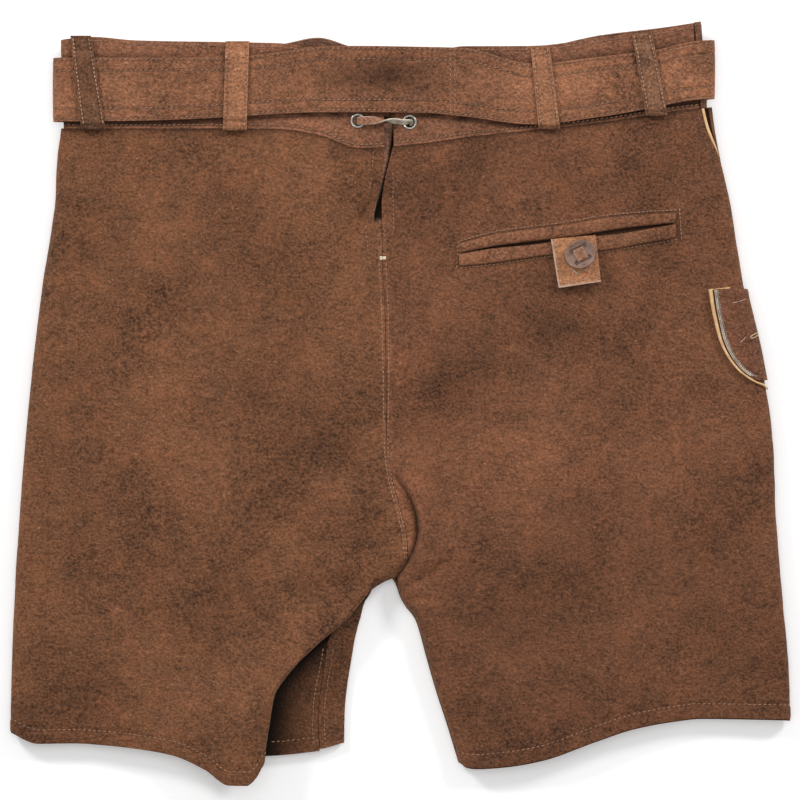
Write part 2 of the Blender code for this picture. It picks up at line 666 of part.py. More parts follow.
def belt():
    low = FRONT_WAIST_Z - BAND / 2 - GAP - STRAP / 2
    thin = 1.1
    loop_r = 1.5 + thin / 2
    left = belt_wrap(-1)
    right = belt_wrap(1)
    path = []
    # Turned end: the short ply comes back under the long one from round the heel bar.
    upper = 3.3 + 2 * thin + GAP - thin / 2 + 0.1
    lower = 3.3 + thin / 2 + 0.1
    for x in (-50.0, -38.0, -27.5):
        path.append((x, lower, thin, 1))
    for a in np.radians(np.linspace(-150, 150, 11)):
        path.append((HEEL_X + loop_r * math.cos(a), HEEL_Z + loop_r * math.sin(a), thin, 1))
    path.append((-28.5, upper + 0.9, thin, 1))
    path.append((-34.0, upper + 0.1, thin, 1))
    path.append((-50.0, upper, thin, 1))
    path.append((-56.0, 3.3 + 1.5, STRAP - 0.1, 1))
    path.append((-80.0, 3.3 + 1.5, STRAP, 1))
    path.append((-104.0, 3.3 + 1.5, STRAP, 1))
    path.append((-122.0, low + 0.3, STRAP, 1))
    path.append((-140.0, low, STRAP, 1))
    for x in np.linspace(-160, left[-1][0] + 8, 4):
        path.append((x, low, STRAP, 1))
    path += [(x, z, STRAP, 1) for x, z in reversed(left)]
    for x in np.linspace(left[0][0], right[0][0], 32)[1:-1]:
        path.append((x, float(belt_height(x)), STRAP, 0))
    path += [(x, z, STRAP, 1) for x, z in right]
    for x in np.linspace(right[-1][0] - 8, 40, 7):
        path.append((x, low, STRAP, 1))
    path.append((26.0, low + 0.9, STRAP, 1))
    path.append((12.0, 1.5 + 1.2 + GAP + STRAP / 2 + 0.1, STRAP, 1))
    path.append((4.0, 1.5 + 1.2 + GAP + STRAP / 2 + 0.1, STRAP, 1))
    path.append((-10.0, 2.4, STRAP, 1))
    path.append((-20.0, 1.65, STRAP, 1))
    path.append((-60.0, 1.55, STRAP, 1))
    path.append((-96.0, 1.55, STRAP, 1))
    path.append((TIP_X, 1.55, STRAP, 2))
    xz = np.array([(p[0], p[1]) for p in path])
    tangent = frames(np.insert(xz, 1, 0, axis=1))
    centres, across, up = [], [], []
    for (x, z, thick, kind), tan in zip(path, tangent):
        normal = np.array([-tan[2], 0, tan[0]])
        y0, y1 = belt_edges(x, kind > 0)
        if kind == 0:
            edge = ease(min(x - left[0][0], right[0][0] - x) / 30.0)
            f0, f1 = belt_edges(x, True)
            y0, y1 = mix(f0, y0, edge), mix(f1, y1, edge)
        if kind == 2:
            y0, y1 = y0 + 9, y1 - 9
        centres.append((x, (y0 + y1) / 2, z))
        across.append((0, (y1 - y0) / 2, 0))
        up.append(normal * thick / 2)
    return bar("belt", centres, across, up, BELT_BROWN)


def belt_buckle():
    low, top = belt_edges(-6.0, True)
    y0, y1 = float(low) - 2.4, float(top) + 2.4
    corners = [(HEEL_X, y1, HEEL_Z), (FAR_X, y1, 1.5), (FAR_X, y0, 1.5), (HEEL_X, y0, HEEL_Z)]
    points = []
    for i, corner in enumerate(corners):
        before = np.array(corners[i - 1])
        after = np.array(corners[(i + 1) % 4])
        here = np.array(corner)
        a = here + 3.0 * (before - here) / np.linalg.norm(before - here)
        b = here + 3.0 * (after - here) / np.linalg.norm(after - here)
        for t in (0.0, 0.33, 0.67, 1.0):
            points.append((1 - t) ** 2 * a + 2 * t * (1 - t) * here + t * t * b)
    return round_bar("belt_buckle", points, 1.2, SILVER, 0.35, 1.0, cyclic=True)


def loop_strip(name, row, back):
    """Belt loop: flat over the belt, its foot turned under on the waistband."""
    top_x, top_y, foot_x, foot_y, top_w, foot_w = row
    if back:
        belt_low = float(WAIST.at("belt_low", mix(top_x, foot_x, 0.85)))
        belt_top = float(WAIST.at("belt_top", mix(top_x, foot_x, 0.2)))
        band = float(back_waist(foot_x)) + BAND / 2 + GAP
    else:
        low, top = belt_edges(foot_x, True)
        belt_low, belt_top = float(low), float(top)
        band = FRONT_WAIST_Z - BAND / 2 - GAP
    sign = 1 if back else -1
    over = band + sign * (STRAP + GAP + 0.2 + LOOP / 2)
    rest = band + sign * LOOP / 2
    fold = band + sign * (LOOP * 1.5 + GAP)
    if not back:
        fold = rest - LOOP - GAP
    path = [(top_y, rest), (min(belt_top + 4.6, top_y - 0.8), rest + (over - rest) * 0.1),
            (belt_top + 1.0, over), (belt_top - 3, over),
            ((belt_top + belt_low) / 2, over + (0.2 if back else 0)), (belt_low + 3, over),
            (belt_low - 0.6, over)]
    turn = (abs(fold - rest)) / 2
    foot = foot_y + turn
    path.append((max(foot + 0.6, belt_low - 2.6), mix(over, fold, 0.8)))
    mid = (fold + rest) / 2
    for a in np.radians((90, 50, 10, -30, -70, -90)):
        path.append((foot - turn * math.cos(a), mid + sign * turn * math.sin(a)))
    path.append((min(foot + 2.6, belt_low - 0.4), rest))
    path = [p for i, p in enumerate(path) if i == 0 or np.hypot(*(np.subtract(p, path[i - 1]))) > 0.3]
    yz = np.array(path)
    tangent = frames(np.insert(yz, 0, 0, axis=1))
    centres, across, up = [], [], []
    for (y, z), tan in zip(path, tangent):
        t = np.clip((top_y - y) / (top_y - foot_y), 0, 1)
        normal = np.array([0, -tan[2], tan[1]])
        centres.append((mix(top_x, foot_x, t), y, z))
        across.append((mix(top_w, foot_w, t) / 2, 0, 0))
        up.append(normal * LOOP / 2)
    return bar(name, centres, across, up, TAN)


# ---- centre back -------------------------------------------------------
EYELETS = Table("x y", (-28.8, 183.3), (4.9, 182.4))


def eyelet(name, x, y):
    """Set ring: barrel through the waistband with a flange above and below."""
    z = float(back_waist(x))
    top, low = z + BAND / 2 + GAP, z - BAND / 2 - GAP
    profile = [(2.5, low - 0.5), (4.3, low - 0.5), (4.3, low), (3.0, low), (3.0, top),
               (4.9, top), (4.7, top + 0.5), (3.6, top + 0.8), (2.5, top + 0.4)]
    steps = 24
    verts = []
    for i in range(steps):
        a = 2 * math.pi * i / steps
        verts += [(x + r * math.cos(a), y + r * math.sin(a), h) for r, h in profile]
    n = len(profile)
    faces = []
    for i in range(steps):
        a, b = i * n, ((i + 1) % steps) * n
        faces += [(a + j, b + j, b + (j + 1) % n, a + (j + 1) % n) for j in range(n)]
    ob = add_object(name, verts, faces, SILVER, 0.3, 1.0)
    if signed_volume(ob) < 0:
        ob.data.flip_normals()
    return ob


def cutters():
    group = bpy.data.collections.new("cutters")
    bpy.context.scene.collection.children.link(group)
    return group


CUTTERS = cutters()


def cut(target, cutter):
    for group in list(cutter.users_collection):
        group.objects.unlink(cutter)
    CUTTERS.objects.link(cutter)
    cutter.hide_render = True
    cutter.display_type = "WIRE"
    mod = target.modifiers.new("cut_" + cutter.name, "BOOLEAN")
    mod.operation = "DIFFERENCE"
    mod.solver = "EXACT"
    mod.object = cutter


def pin(name, x, y, z, radius, height, steps=24):
    verts = []
    for h in (z - height / 2, z + height / 2):
        verts += [(x + radius * math.cos(2 * math.pi * i / steps),
                   y + radius * math.sin(2 * math.pi * i / steps), h) for i in range(steps)]
    faces = [tuple(range(steps))[::-1], tuple(range(steps, 2 * steps))]
    faces += [(i, (i + 1) % steps, steps + (i + 1) % steps, steps + i) for i in range(steps)]
    return add_object(name, verts, faces, SILVER)


def lace():
    """Flat thong from one eyelet to the other, its ends turned out on the inside."""
    left, right = EYELETS.rows
    zl, zr = float(back_waist(left[0])), float(back_waist(right[0]))
    top = max(zl, zr) + BAND / 2 + GAP + 0.8 + 0.2 + 0.6
    inside = BAND / 2 + GAP + 0.5 + GAP + 0.55
    path = [(left[0] - 13, left[1] + 0.4, zl - inside), (left[0] - 5, left[1] + 0.2, zl - inside),
            (left[0] - 1.2, left[1], zl - inside + 0.2), (left[0], left[1], zl - inside + 1.6),
            (left[0], left[1], zl), (left[0] + 0.1, left[1], top - 1.7),
            (left[0] + 1.3, left[1], top - 0.25), (left[0] + 4.5, left[1], top),
            (-22, 182.6, top), (-12, 181.8, top), (-4, 181.2, top),
            (right[0] - 4.5, right[1], top), (right[0] - 1.3, right[1], top - 0.25),
            (right[0] - 0.1, right[1], top - 1.7), (right[0], right[1], zr),
            (right[0], right[1], zr - inside + 1.6), (right[0] + 1.2, right[1], zr - inside + 0.2),
            (right[0] + 5, right[1] + 0.2, zr - inside), (right[0] + 13, right[1] + 0.6, zr - inside)]
    tangent = frames(path)
    centres, across, up = [], [], []
    for i, (p, tan) in enumerate(zip(path, tangent)):
        hole = 3 <= i <= 5 or 13 <= i <= 15
        width = 1.6 if hole else 1.9
        normal = np.cross(tan, (0, 1, 0))
        normal = normal / np.linalg.norm(normal)
        centres.append(p)
        across.append((0, width, 0))
        up.append(normal * 0.55)
    return bar("lace", centres, across, up, TAN)


GUSSET = Table(
    "y left fold right deep",
    (182, -20.0, -6.0, 0.4, 0.9),
    (160, -21.0, -9.0, -2.4, 1.0),
    (140, -22.8, -13.6, -4.8, 1.0),
    (120, -24.0, -18.6, -7.6, 0.8),
    (100, -20.4, -15.6, -9.6, 0.0),
    (84, -16.0, -12.6, -9.4, 0.0))
GUSSET_WALL = 1.0
UNDER = -2.3         # gusset's edges below the middle of the back cloth


def gusset():
    """Wedge under the split back: one pleat folded over to the left."""
    grid = []
    for t in np.linspace(0, 1, 10):
        y = mix(182, 84, t)
        left, fold, right, deep = (float(GUSSET.at(n, y))
                                   for n in ("left", "fold", "right", "deep"))
        crest = UNDER + 1.0 * float(ease((164 - y) / 8.0))
        section = [(left, UNDER), (mix(left, fold, 0.5), UNDER), (fold - 1.2, crest),
                   (fold, crest - 1.1 * deep),
                   (fold + mix(1.0, -1.4, deep), crest - 2.3 * deep),
                   (mix(fold, right, 0.55), crest - 2.5 * deep),
                   (mix(fold, right, 0.8), UNDER - 0.8 * deep), (right, UNDER)]
        sink = 0.7 * float(ease((112 - y) / 15.0))
        grid.append([(x, y, float(back_height(x, y)) + z - sink) for x, z in section])
    return sheet("gusset", np.array(grid), GUSSET_WALL, SUEDE_BROWN)


# ---- back pocket -------------------------------------------------------
SURFACE = {}


def remember(name, ob):
    """Keep a panel's middle surface, so that what lies on it is made from its points."""
    verts = [tuple(v.co / MM) for v in ob.data.vertices]
    SURFACE[name] = BVHTree.FromPolygons(verts, [tuple(f.vertices) for f in ob.data.polygons])


def panel_height(x, y):
    flat_x, flat_y = np.broadcast_arrays(np.asarray(x, float), np.asarray(y, float))
    out = np.empty(flat_x.shape)
    for i in np.ndindex(flat_x.shape):
        hit = SURFACE["back_right"].ray_cast(Vector((flat_x[i], flat_y[i], 60)), Vector((0, 0, -1)))
        out[i] = hit[0].z if hit[0] else back_height(flat_x[i], flat_y[i])
    return out


def on_back(x, y, out):
    """A point moved out from the right back panel's middle."""
    step = 0.5
    zx = (back_height(x + step, y) - back_height(x - step, y)) / (2 * step)
    zy = (back_height(x, y + step) - back_height(x, y - step)) / (2 * step)
    normal = np.stack([-zx, -zy, np.ones_like(zx)], -1)
    normal = normal / np.linalg.norm(normal, axis=-1)[..., None]
    return np.stack([x + 0 * zx, y + 0 * zx, panel_height(x, y)], -1) + normal * out


def strip_on_back(name, x0, x1, low, high, thickness, out, colour, columns=15, rows=3):
    grid = []
    for t in np.linspace(0, 1, rows):
        x = np.linspace(x0, x1, columns)
        grid.append(on_back(x, mix(low(x), high(x), t), out))
    return sheet(name, np.array(grid), thickness, colour)


def welts():
    out = SUEDE / 2 + GAP + TRIM / 2
    strip_on_back("welt_upper", *WELT_ENDS, lambda x: WELT.at("mouth", x) + MOUTH / 2,
                  lambda x: WELT.at("top", x), TRIM, out, SUEDE_BROWN)
    strip_on_back("welt_lower", *WELT_ENDS, lambda x: WELT.at("low", x),
                  lambda x: WELT.at("mouth", x) - MOUTH / 2, TRIM, out, SUEDE_BROWN)


TAB_OUT = SUEDE / 2 + GAP + TRIM + GAP + TAB / 2


def pocket_tab():
    """Buttoning tab that hangs from the upper welt over the mouth."""
    grid = []
    for t in np.linspace(0, 1, 7):
        left = np.array((mix(96.6, 101.6, t), mix(106.4, 74.8, t)))
        right = np.array((mix(125.4, 129.0, t), mix(109.0, 79.0, t)))
        s = np.linspace(0, 1, 7)
        x = mix(left[0], right[0], s)
        y = mix(left[1], right[1], s)
        below = WELT.at("low", x) - y
        out = TAB_OUT - (TRIM + GAP) * 0.75 * ease(below / 9.0)
        grid.append([on_back(a, b, o) for a, b, o in zip(x, y, out)])
    return sheet("pocket_tab", np.array(grid), TAB, TAN)


BUTTON = (115.5, 96.6)
BUTTON_TURN = math.radians(26)
BUTTON_A = 10.7
BUTTON_B = 9.3
SLOT_OUT = 4.7


def button_frame():
    """Centre of the button's underside and its axes."""
    base = on_back(np.float64(BUTTON[0]), np.float64(BUTTON[1]), TAB_OUT + TAB / 2 + 1.9)
    up = np.array((0.04, -0.03, 1.0))
    up = up / np.linalg.norm(up)
    along = np.array((math.cos(BUTTON_TURN), math.sin(BUTTON_TURN), 0))
    along = along - up * along.dot(up)
    along = along / np.linalg.norm(along)
    return base, along, np.cross(up, along), up


def button():
    base, along, side, up = button_frame()
    profile = [(0.80, 0.0), (0.96, 0.7), (1.0, 2.0), (0.97, 3.2), (0.86, 3.7), (0.74, 3.3),
               (0.62, 2.7)]
    steps = 36
    verts = [base]
    for share, height in profile:
        for i in range(steps):
            a = 2 * math.pi * i / steps
            verts.append(base + along * BUTTON_A * share * math.cos(a)
                         + side * BUTTON_B * share * math.sin(a) + up * height)
    verts.append(base + up * 2.6)
    last = len(verts) - 1
    faces = [(0, 1 + (i + 1) % steps, 1 + i) for i in range(steps)]
    for k in range(len(profile) - 1):
        a, b = 1 + k * steps, 1 + (k + 1) * steps
        faces += [(a + i, a + (i + 1) % steps, b + (i + 1) % steps, b + i) for i in range(steps)]
    a = 1 + (len(profile) - 1) * steps
    faces += [(a + i, a + (i + 1) % steps, last) for i in range(steps)]
    ob = add_object("button", verts, faces, HORN, 0.45)
    if signed_volume(ob) < 0:
        ob.data.flip_normals()
    for i, sign in enumerate((1, -1)):
        middle = base + side * sign * SLOT_OUT + up * 2.0
        slot = bar("button_slot_%d" % (i + 1), [middle - up * 4, middle + up * 4],
                   [along * 5.2] * 2, [side * 1.05] * 2, HORN)
        cut(ob, slot)
    return ob


def button_thong():
    """Flat thong: its tip on the tab, up one slot, over and down the other."""
    base, along, side, up = button_frame()
    half = 0.6
    path = [(-12.5, -0.95), (-8.0, -0.95), (-6.5, -0.95), (-5.3, -0.8), (-4.75, -0.2),
            (-4.7, 1.2), (-4.7, 3.0), (-4.1, 3.9), (-2.5, 4.3), (2.5, 4.3), (4.1, 3.9), (4.7, 3.0), (4.7, 1.2),
            (4.5, -0.4), (3.6, -0.95), (-1.5, -0.95)]
    points = np.array([base + side * s + up * h for s, h in path])
    tangent = frames(points)
    normals = np.cross(tangent, along)
    return bar("button_thong", points, [along * 4.4] * len(points), normals * half, PALE)


# ---- side trim ---------------------------------------------------------
def side_piping():
    points = []
    rows = [mix(TOP_Y[1], HEM_Y[1], v) for v in V_ROWS]
    for y in [191.5] + [y for y in rows[1:] if y > 82] + [80.0]:
        radius = mix(EDGE_R, RIGHT_R, float(ease((y - 130) / 50)))
        turn = float(SEAM_TURN.at("angle", y)) if y > 150 else 0.0
        points.append(edge_point(outline(y, 1), y, 1, turn, radius) + (0.25, 0, 0))
    return round_bar("side_piping", points, 0.8, GOLD, res=2)


def knife_point(y, t, out):
    """Round the right edge: t = +1 at the pocket's outer line on the back, 0 at the edge."""
    xo = float(outline(y, 1))
    reach = xo - float(KNIFE.at("x", y))

    def bare(q):
        d = reach * abs(q)
        bend = math.degrees(math.acos(1 - min(d / EDGE_R, 1)))
        angle = math.copysign(UPRIGHT + bend * (90 - UPRIGHT) / 90, q)
        if d < EDGE_R:
            return edge_point(xo, y, 1, angle, EDGE_R)
        z = panel_height(xo - d, y) if q > 0 else front_height(xo - d, y)
        return np.array((xo - d, y, float(z)))

    if abs(t) < 0.001:
        return np.array((xo + out, y, float(seam_height(y))))
    h = 0.3 / reach
    tangent = bare(t + h) - bare(t - h) if abs(t) > h else np.array((0, 0, -1.0))
    normal = np.array((tangent[2], 0, -tangent[0])) * (1 if abs(t) > h else -1)
    normal = normal / np.linalg.norm(normal)
    return bare(t) + normal * out


def knife_inset(y):
    """Distance in x from the pocket's outer line to its own cut edge, beside the piping."""
    slope = (float(KNIFE.at("x", y + 1)) - float(KNIFE.at("x", y - 1))) / 2
    return (float(KNIFE.at("bead", y)) * 0.72 * 1.8 + 0.6) * math.hypot(1, slope)


def knife_pocket():
    out = SUEDE / 2 + GAP + 0.6 + TRIM / 2
    low = KNIFE_LOW + 3.5
    grid = []
    for y in np.linspace(KNIFE_TOP, low, 9):
        reach = float(outline(y, 1)) - float(KNIFE.at("x", y))
        stop = max(1 - knife_inset(y) / reach, 0.06)
        shares = np.linspace(1, -1, 13)
        grid.append([knife_point(y, stop * math.copysign(abs(q) ** 1.9, q), out)
                     for q in shares])
    return sheet("knife_pocket", np.array(grid), TRIM, SUEDE_BROWN)


def knife_piping():
    points, radii = [], []
    for y in np.linspace(KNIFE_TOP, KNIFE_LOW + 1.5, 20):
        bead = float(KNIFE.at("bead", y)) * 0.72
        points.append(knife_point(y, 1.0, SUEDE / 2 + GAP + 0.2 + bead))
        radii.append(bead)
    return round_bar("knife_piping", points, radii, GOLD, res=2)


def build():
    back_left()
    right = back_right()
    remember("back_right", right)
    front_panel(-1)
    front_panel(1)
    gusset()
    left_band = waistband("waistband_back_left", -1, -11.8, True)
    right_band = waistband("waistband_back_right", 1, -5.2, True)
    waistband("waistband_front_left", -1, FRONT_CENTRE - GAP / 2, False)
    waistband("waistband_front_right", 1, FRONT_CENTRE + GAP / 2, False)
    for side, target, (x, y) in zip(("left", "right"), (left_band, right_band), EYELETS.rows):
        eyelet("eyelet_" + side, x, y)
        cut(target, pin("hole_" + side, x, y, float(back_waist(x)), 3.3, 8))
    lace()
    belt()
    belt_buckle()
    for i, row in enumerate(BACK_LOOPS.rows):
        loop_strip("loop_back_%d" % (i + 1), row, True)
    for i, row in enumerate(FRONT_LOOPS.rows):
        loop_strip("loop_front_%d" % (i + 1), row, False)
    welts()
    mouth = strip_on_back("mouth_cut", WELT_ENDS[0] + 4, WELT_ENDS[1] - 4,
                          lambda x: WELT.at("mouth", x) - 0.5, lambda x: WELT.at("mouth", x) + 0.5,
                          6.0, 0.0, SUEDE_BROWN, rows=2)
    cut(right, mouth)
    pocket_tab()
    button()
    button_thong()
    side_piping()
    knife_pocket()
    knife_piping()


build()
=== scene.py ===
# %% [markdown]
# # Short suede lederhosen, laid flat with the back up
# Every piece of leather is made again here as a fine thin wall on the form of its plain solid:
# the same outline tables, read at many more rows and columns, with creases, hems and seams
# pressed in. Threads, piping and fittings follow, each laid on the surface that it is sewn to.

# %% Tools and the frame
import math

import bpy
import numpy as np
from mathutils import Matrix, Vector, noise
from mathutils.bvhtree import BVHTree


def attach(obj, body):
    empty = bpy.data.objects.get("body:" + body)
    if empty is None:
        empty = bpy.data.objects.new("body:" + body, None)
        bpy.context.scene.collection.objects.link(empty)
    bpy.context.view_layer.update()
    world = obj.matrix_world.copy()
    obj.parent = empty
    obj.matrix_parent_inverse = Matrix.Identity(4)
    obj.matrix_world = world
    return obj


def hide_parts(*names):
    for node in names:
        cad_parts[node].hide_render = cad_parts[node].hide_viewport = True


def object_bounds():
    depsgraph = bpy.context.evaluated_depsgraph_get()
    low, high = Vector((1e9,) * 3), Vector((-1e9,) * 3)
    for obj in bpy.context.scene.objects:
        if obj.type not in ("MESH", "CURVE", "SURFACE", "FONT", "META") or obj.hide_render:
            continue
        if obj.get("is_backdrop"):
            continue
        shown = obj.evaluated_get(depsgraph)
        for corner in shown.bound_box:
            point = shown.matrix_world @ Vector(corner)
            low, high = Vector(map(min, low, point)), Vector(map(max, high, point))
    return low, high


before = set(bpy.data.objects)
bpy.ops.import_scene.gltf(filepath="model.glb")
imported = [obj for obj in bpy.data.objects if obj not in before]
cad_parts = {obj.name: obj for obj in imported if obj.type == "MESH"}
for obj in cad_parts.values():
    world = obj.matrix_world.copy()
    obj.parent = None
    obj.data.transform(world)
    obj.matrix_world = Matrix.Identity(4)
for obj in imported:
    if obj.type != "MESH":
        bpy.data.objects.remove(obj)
cad_box = [list(corner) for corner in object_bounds()]
MM = 0.001
print("CAD box, mm:", [[round(c / MM, 1) for c in corner] for corner in cad_box])

# %% [markdown]
# ## The sizes that the garment is cut to
# A maker's pattern is a list of lines with a few marks on each. A small table class holds
# such a line as rows under named columns, and reads it with a curve that never overshoots.

# %% Driving sizes, mm
SUEDE = 1.4          # panel leather
BAND = 2.0           # waistband, two plies glued
STRAP = 2.8          # belt
LOOP = 1.3           # belt loop leather
TRIM = 1.2           # welts and knife pocket
TAB = 1.4            # pocket tab
GAP = 0.3            # clear distance at seams and between plies
BACK_WAIST_Z = 13.5  # middle of the back waistband
FRONT_WAIST_Z = 6.0  # middle of the front waistband
BODY_Z = 12.5        # middle of the back cloth over the seat
SEAM_Z = 5.2         # height of the side seams below the waist
EDGE_R = 8.0         # rounding of the side edges
WAIST_R = 5.0        # rounding of the waistband's left end
RIGHT_R = 11.0       # rounding of the right side just below the waist
CROTCH_V = 0.70      # share of a panel's length above the crotch
UPRIGHT = 9.0        # degrees each way over which a side edge stands upright
TOP_Y = {1: 192.6, -1: 178.3}    # side seam's top and hem, by side
HEM_Y = {1: -205.8, -1: -214.0}
SEAT_TOP_Y = 165.7   # seat seam, from the waistband to the crotch, by side
SEAT_END_Y = {1: -113.6, -1: -113.0}
SPLIT_END_Y = 117    # where the split closes and the seat is sewn
SHUT_V = 0.65        # the plies start to come together here, and have met at SHUT_V + 0.05


# %% Tables read as smooth curves
class Table:
    """Rows under named columns, read with a smooth curve that never overshoots."""

    def __init__(self, names, *rows):
        self.names = names.split()
        self.rows = np.array(rows, float)

    def column(self, name):
        return self.rows[:, self.names.index(name)]

    def at(self, name, value, key=0):
        return smooth_curve(self.rows[:, key], self.column(name), value)

    def along(self, *names):
        """The named columns as functions of 0..1 along the rows."""
        points = np.stack([self.column(n) for n in names], 1)
        length = run_of(points[:, :2])
        length = length / length[-1]
        return lambda t: smooth_line(length, points, t)


def smooth_curve(xs, ys, x):
    x = np.asarray(x, float)
    if xs[0] > xs[-1]:
        xs = xs[::-1]
        ys = ys[::-1]
    h = np.diff(xs)
    slope = np.diff(ys) / h
    m = np.zeros(len(xs))
    for i in range(1, len(xs) - 1):
        if slope[i - 1] * slope[i] > 0:
            w1 = 2 * h[i] + h[i - 1]
            w2 = h[i] + 2 * h[i - 1]
            m[i] = (w1 + w2) / (w1 / slope[i - 1] + w2 / slope[i])
    m[0] = slope[0]
    m[-1] = slope[-1]
    x = np.clip(x, xs[0], xs[-1])
    i = np.clip(np.searchsorted(xs, x) - 1, 0, len(h) - 1)
    t = (x - xs[i]) / h[i]
    return ((2 * t**3 - 3 * t**2 + 1) * ys[i] + (t**3 - 2 * t**2 + t) * h[i] * m[i]
            + (3 * t**2 - 2 * t**3) * ys[i + 1] + (t**3 - t**2) * h[i] * m[i + 1])


def smooth_line(length, points, t):
    """Points read at t, each column by its own curve over length."""
    return np.stack([smooth_curve(length, column, t) for column in points.T], -1)


def run_of(points):
    """Distance of each point from the first, along the line."""
    steps = np.linalg.norm(np.diff(points, axis=0), axis=1)
    return np.concatenate([[0.0], np.cumsum(steps)])


def ease(t):
    t = np.clip(t, 0.0, 1.0)
    return t * t * (3 - 2 * t)


def mix(a, b, t):
    return a + (b - a) * t


def unit(vectors):
    return vectors / np.linalg.norm(vectors, axis=-1, keepdims=True)


def bump(distance, width):
    """Soft bell: 1 on the line and nothing a few widths away."""
    return np.exp(-(np.asarray(distance) / width) ** 2)


# %% Outline tables
SIDES = Table(
    "y left right",
    (193, -221.0, 201.5),
    (178, -221.7, 203.4),
    (158, -224.3, 207.2),
    (132, -225.6, 213.2),
    (80, -233.4, 221.6),
    (28, -239.9, 233.4),
    (-24, -245.1, 241.2),
    (-76, -249.0, 243.4),
    (-128, -252.2, 247.7),
    (-180, -254.2, 252.0),
    (-225, -255.0, 253.0))
# Back waistband's top and seam, front waistband's top, and both edges of the belt.
WAIST = Table(
    "x top seam front_top belt_top belt_low",
    (-227, 235.1, 178.8, 234.0, 224.4, 182.8),
    (-201, 237.6, 178.8, 236.4, 224.4, 182.9),
    (-173, 235.3, 178.8, 234.2, 224.4, 183.2),
    (-115, 234.2, 178.8, 233.0, 224.6, 185.4),
    (-82, 233.5, 178.6, 233.0, 227.6, 187.6),
    (-55, 230.0, 174.9, 237.3, 231.3, 188.6),
    (-27, 224.0, 165.9, 230.0, 231.8, 188.6),
    (14, 226.0, 169.1, 228.0, 231.2, 188.2),
    (40, 231.4, 172.9, 229.5, 230.6, 185.9),
    (84, 231.7, 177.8, 230.5, 220.6, 180.9),
    (129, 237.2, 182.7, 239.0, 225.0, 185.8),
    (174, 243.2, 189.6, 244.6, 230.8, 193.6),
    (204, 248.6, 193.4, 249.4, 236.0, 197.8))
CENTRE_LEFT = Table(
    "x y",
    (-11.9, 165.7), (-12.5, 152), (-14.0, 143), (-16.6, 133), (-19.5, 122.5), (-19.0, 119.5),
    (-14.2, 115), (-13.5, 108), (-13.2, 90), (-11.2, 59),
    (-9.9, -24), (-9.2, -35), (-4.8, -57), (-0.9, -69.5), (2.8, -85.8), (3.6, -100.8),
    (-4.5, -113.0))
CENTRE_RIGHT = Table(
    "x y",
    (-5.8, 165.7), (-8.6, 155), (-11.0, 145), (-12.4, 137), (-13.1, 129), (-13.0, 118),
    (-12.7, 106), (-12.4, 90), (-10.7, 59),
    (-9.4, -24), (-8.7, -35), (-4.3, -57), (-0.4, -69.5), (3.3, -85.8), (4.1, -100.8),
    (-4.0, -113.6))
INNER_RIGHT = Table(
    "x y",
    (-4.0, -113.6), (-2.3, -122.9), (1.6, -130.9), (8.1, -139.4), (10.6, -146),
    (15.5, -163.8), (22.5, -187.6), (28.5, -205.4), (36.6, -231.0))
HEM_RIGHT = Table(
    "x y",
    (30, -226.0), (37.4, -232.4), (42.4, -236.6), (48.4, -237.4), (67.3, -236.2),
    (90.2, -232.3), (127.6, -219.2), (150.5, -211.6), (176.3, -206.6), (195.3, -204.6),
    (253, -205.6))
HEM_LEFT = Table(
    "x y",
    (-256, -213.5), (-236.4, -221.7), (-213.5, -221.4), (-191.8, -222.8), (-165.8, -225.9),
    (-148.9, -229.2), (-128, -238.1), (-112, -248.2), (-100.8, -248.3), (-94.9, -243.4),
    (-89.7, -235.0), (-76.7, -228.2), (-54.6, -226.2), (-37.7, -222.0))
FRONT_HEM_LEFT = Table(
    "x y",
    (-256, -213.5), (-213.5, -220.4), (-165.8, -224.0), (-110, -226.8), (-54.6, -226.2),
    (-37.7, -222.0))

# %% Folds, creases and pockets
FOLD = Table(
    "crest_x crest_y rise under low seam_x seam_y edge_x",
    (-15.6, -113.9, 11.5, 0.8, 6.0, -17.2, -113.6, -16.0),
    (-22.6, -126.8, 14.0, 1.0, 5.4, -24.4, -126.8, -23.2),
    (-35.5, -141.0, 17.5, 8.0, 4.6, -39.6, -142.0, -26.8),
    (-54.6, -156.5, 20.5, 8.0, 4.4, -49.0, -156.0, -30.6),
    (-70.0, -171.6, 23.0, 8.0, 4.4, -51.0, -171.0, -32.9),
    (-83.0, -190.7, 25.0, 9.0, 4.4, -54.0, -190.0, -35.6),
    (-86.0, -208.7, 26.0, 9.0, 4.4, -55.2, -208.0, -37.2),
    (-89.7, -235.0, 26.0, 8.0, 4.4, -54.0, -226.2, -37.7))
# Large folds of the back, as the plain solids have them.
RIDGES = Table(
    "x0 y0 x1 y1 width height",
    (-150, 90, -120, -60, 70, 3.0),
    (60, 70, 130, -60, 75, 2.6),
    (-10, 70, -12, -20, 22, -2.2),
    (-52, -36, -10, -54, 12, -2.4),
    (0, -26, 40, -6, 13, -2.6),
    (8, -58, 12, -100, 9, 4.2),
    (-120, -120, -112, -240, 34, 3.6),
    (-200, -100, -215, -215, 28, -2.4),
    (95, -110, 110, -225, 50, 2.2),
    (190, -120, 200, -200, 30, -2.0),
    (-24, 128, -26, 108, 7, -1.6))
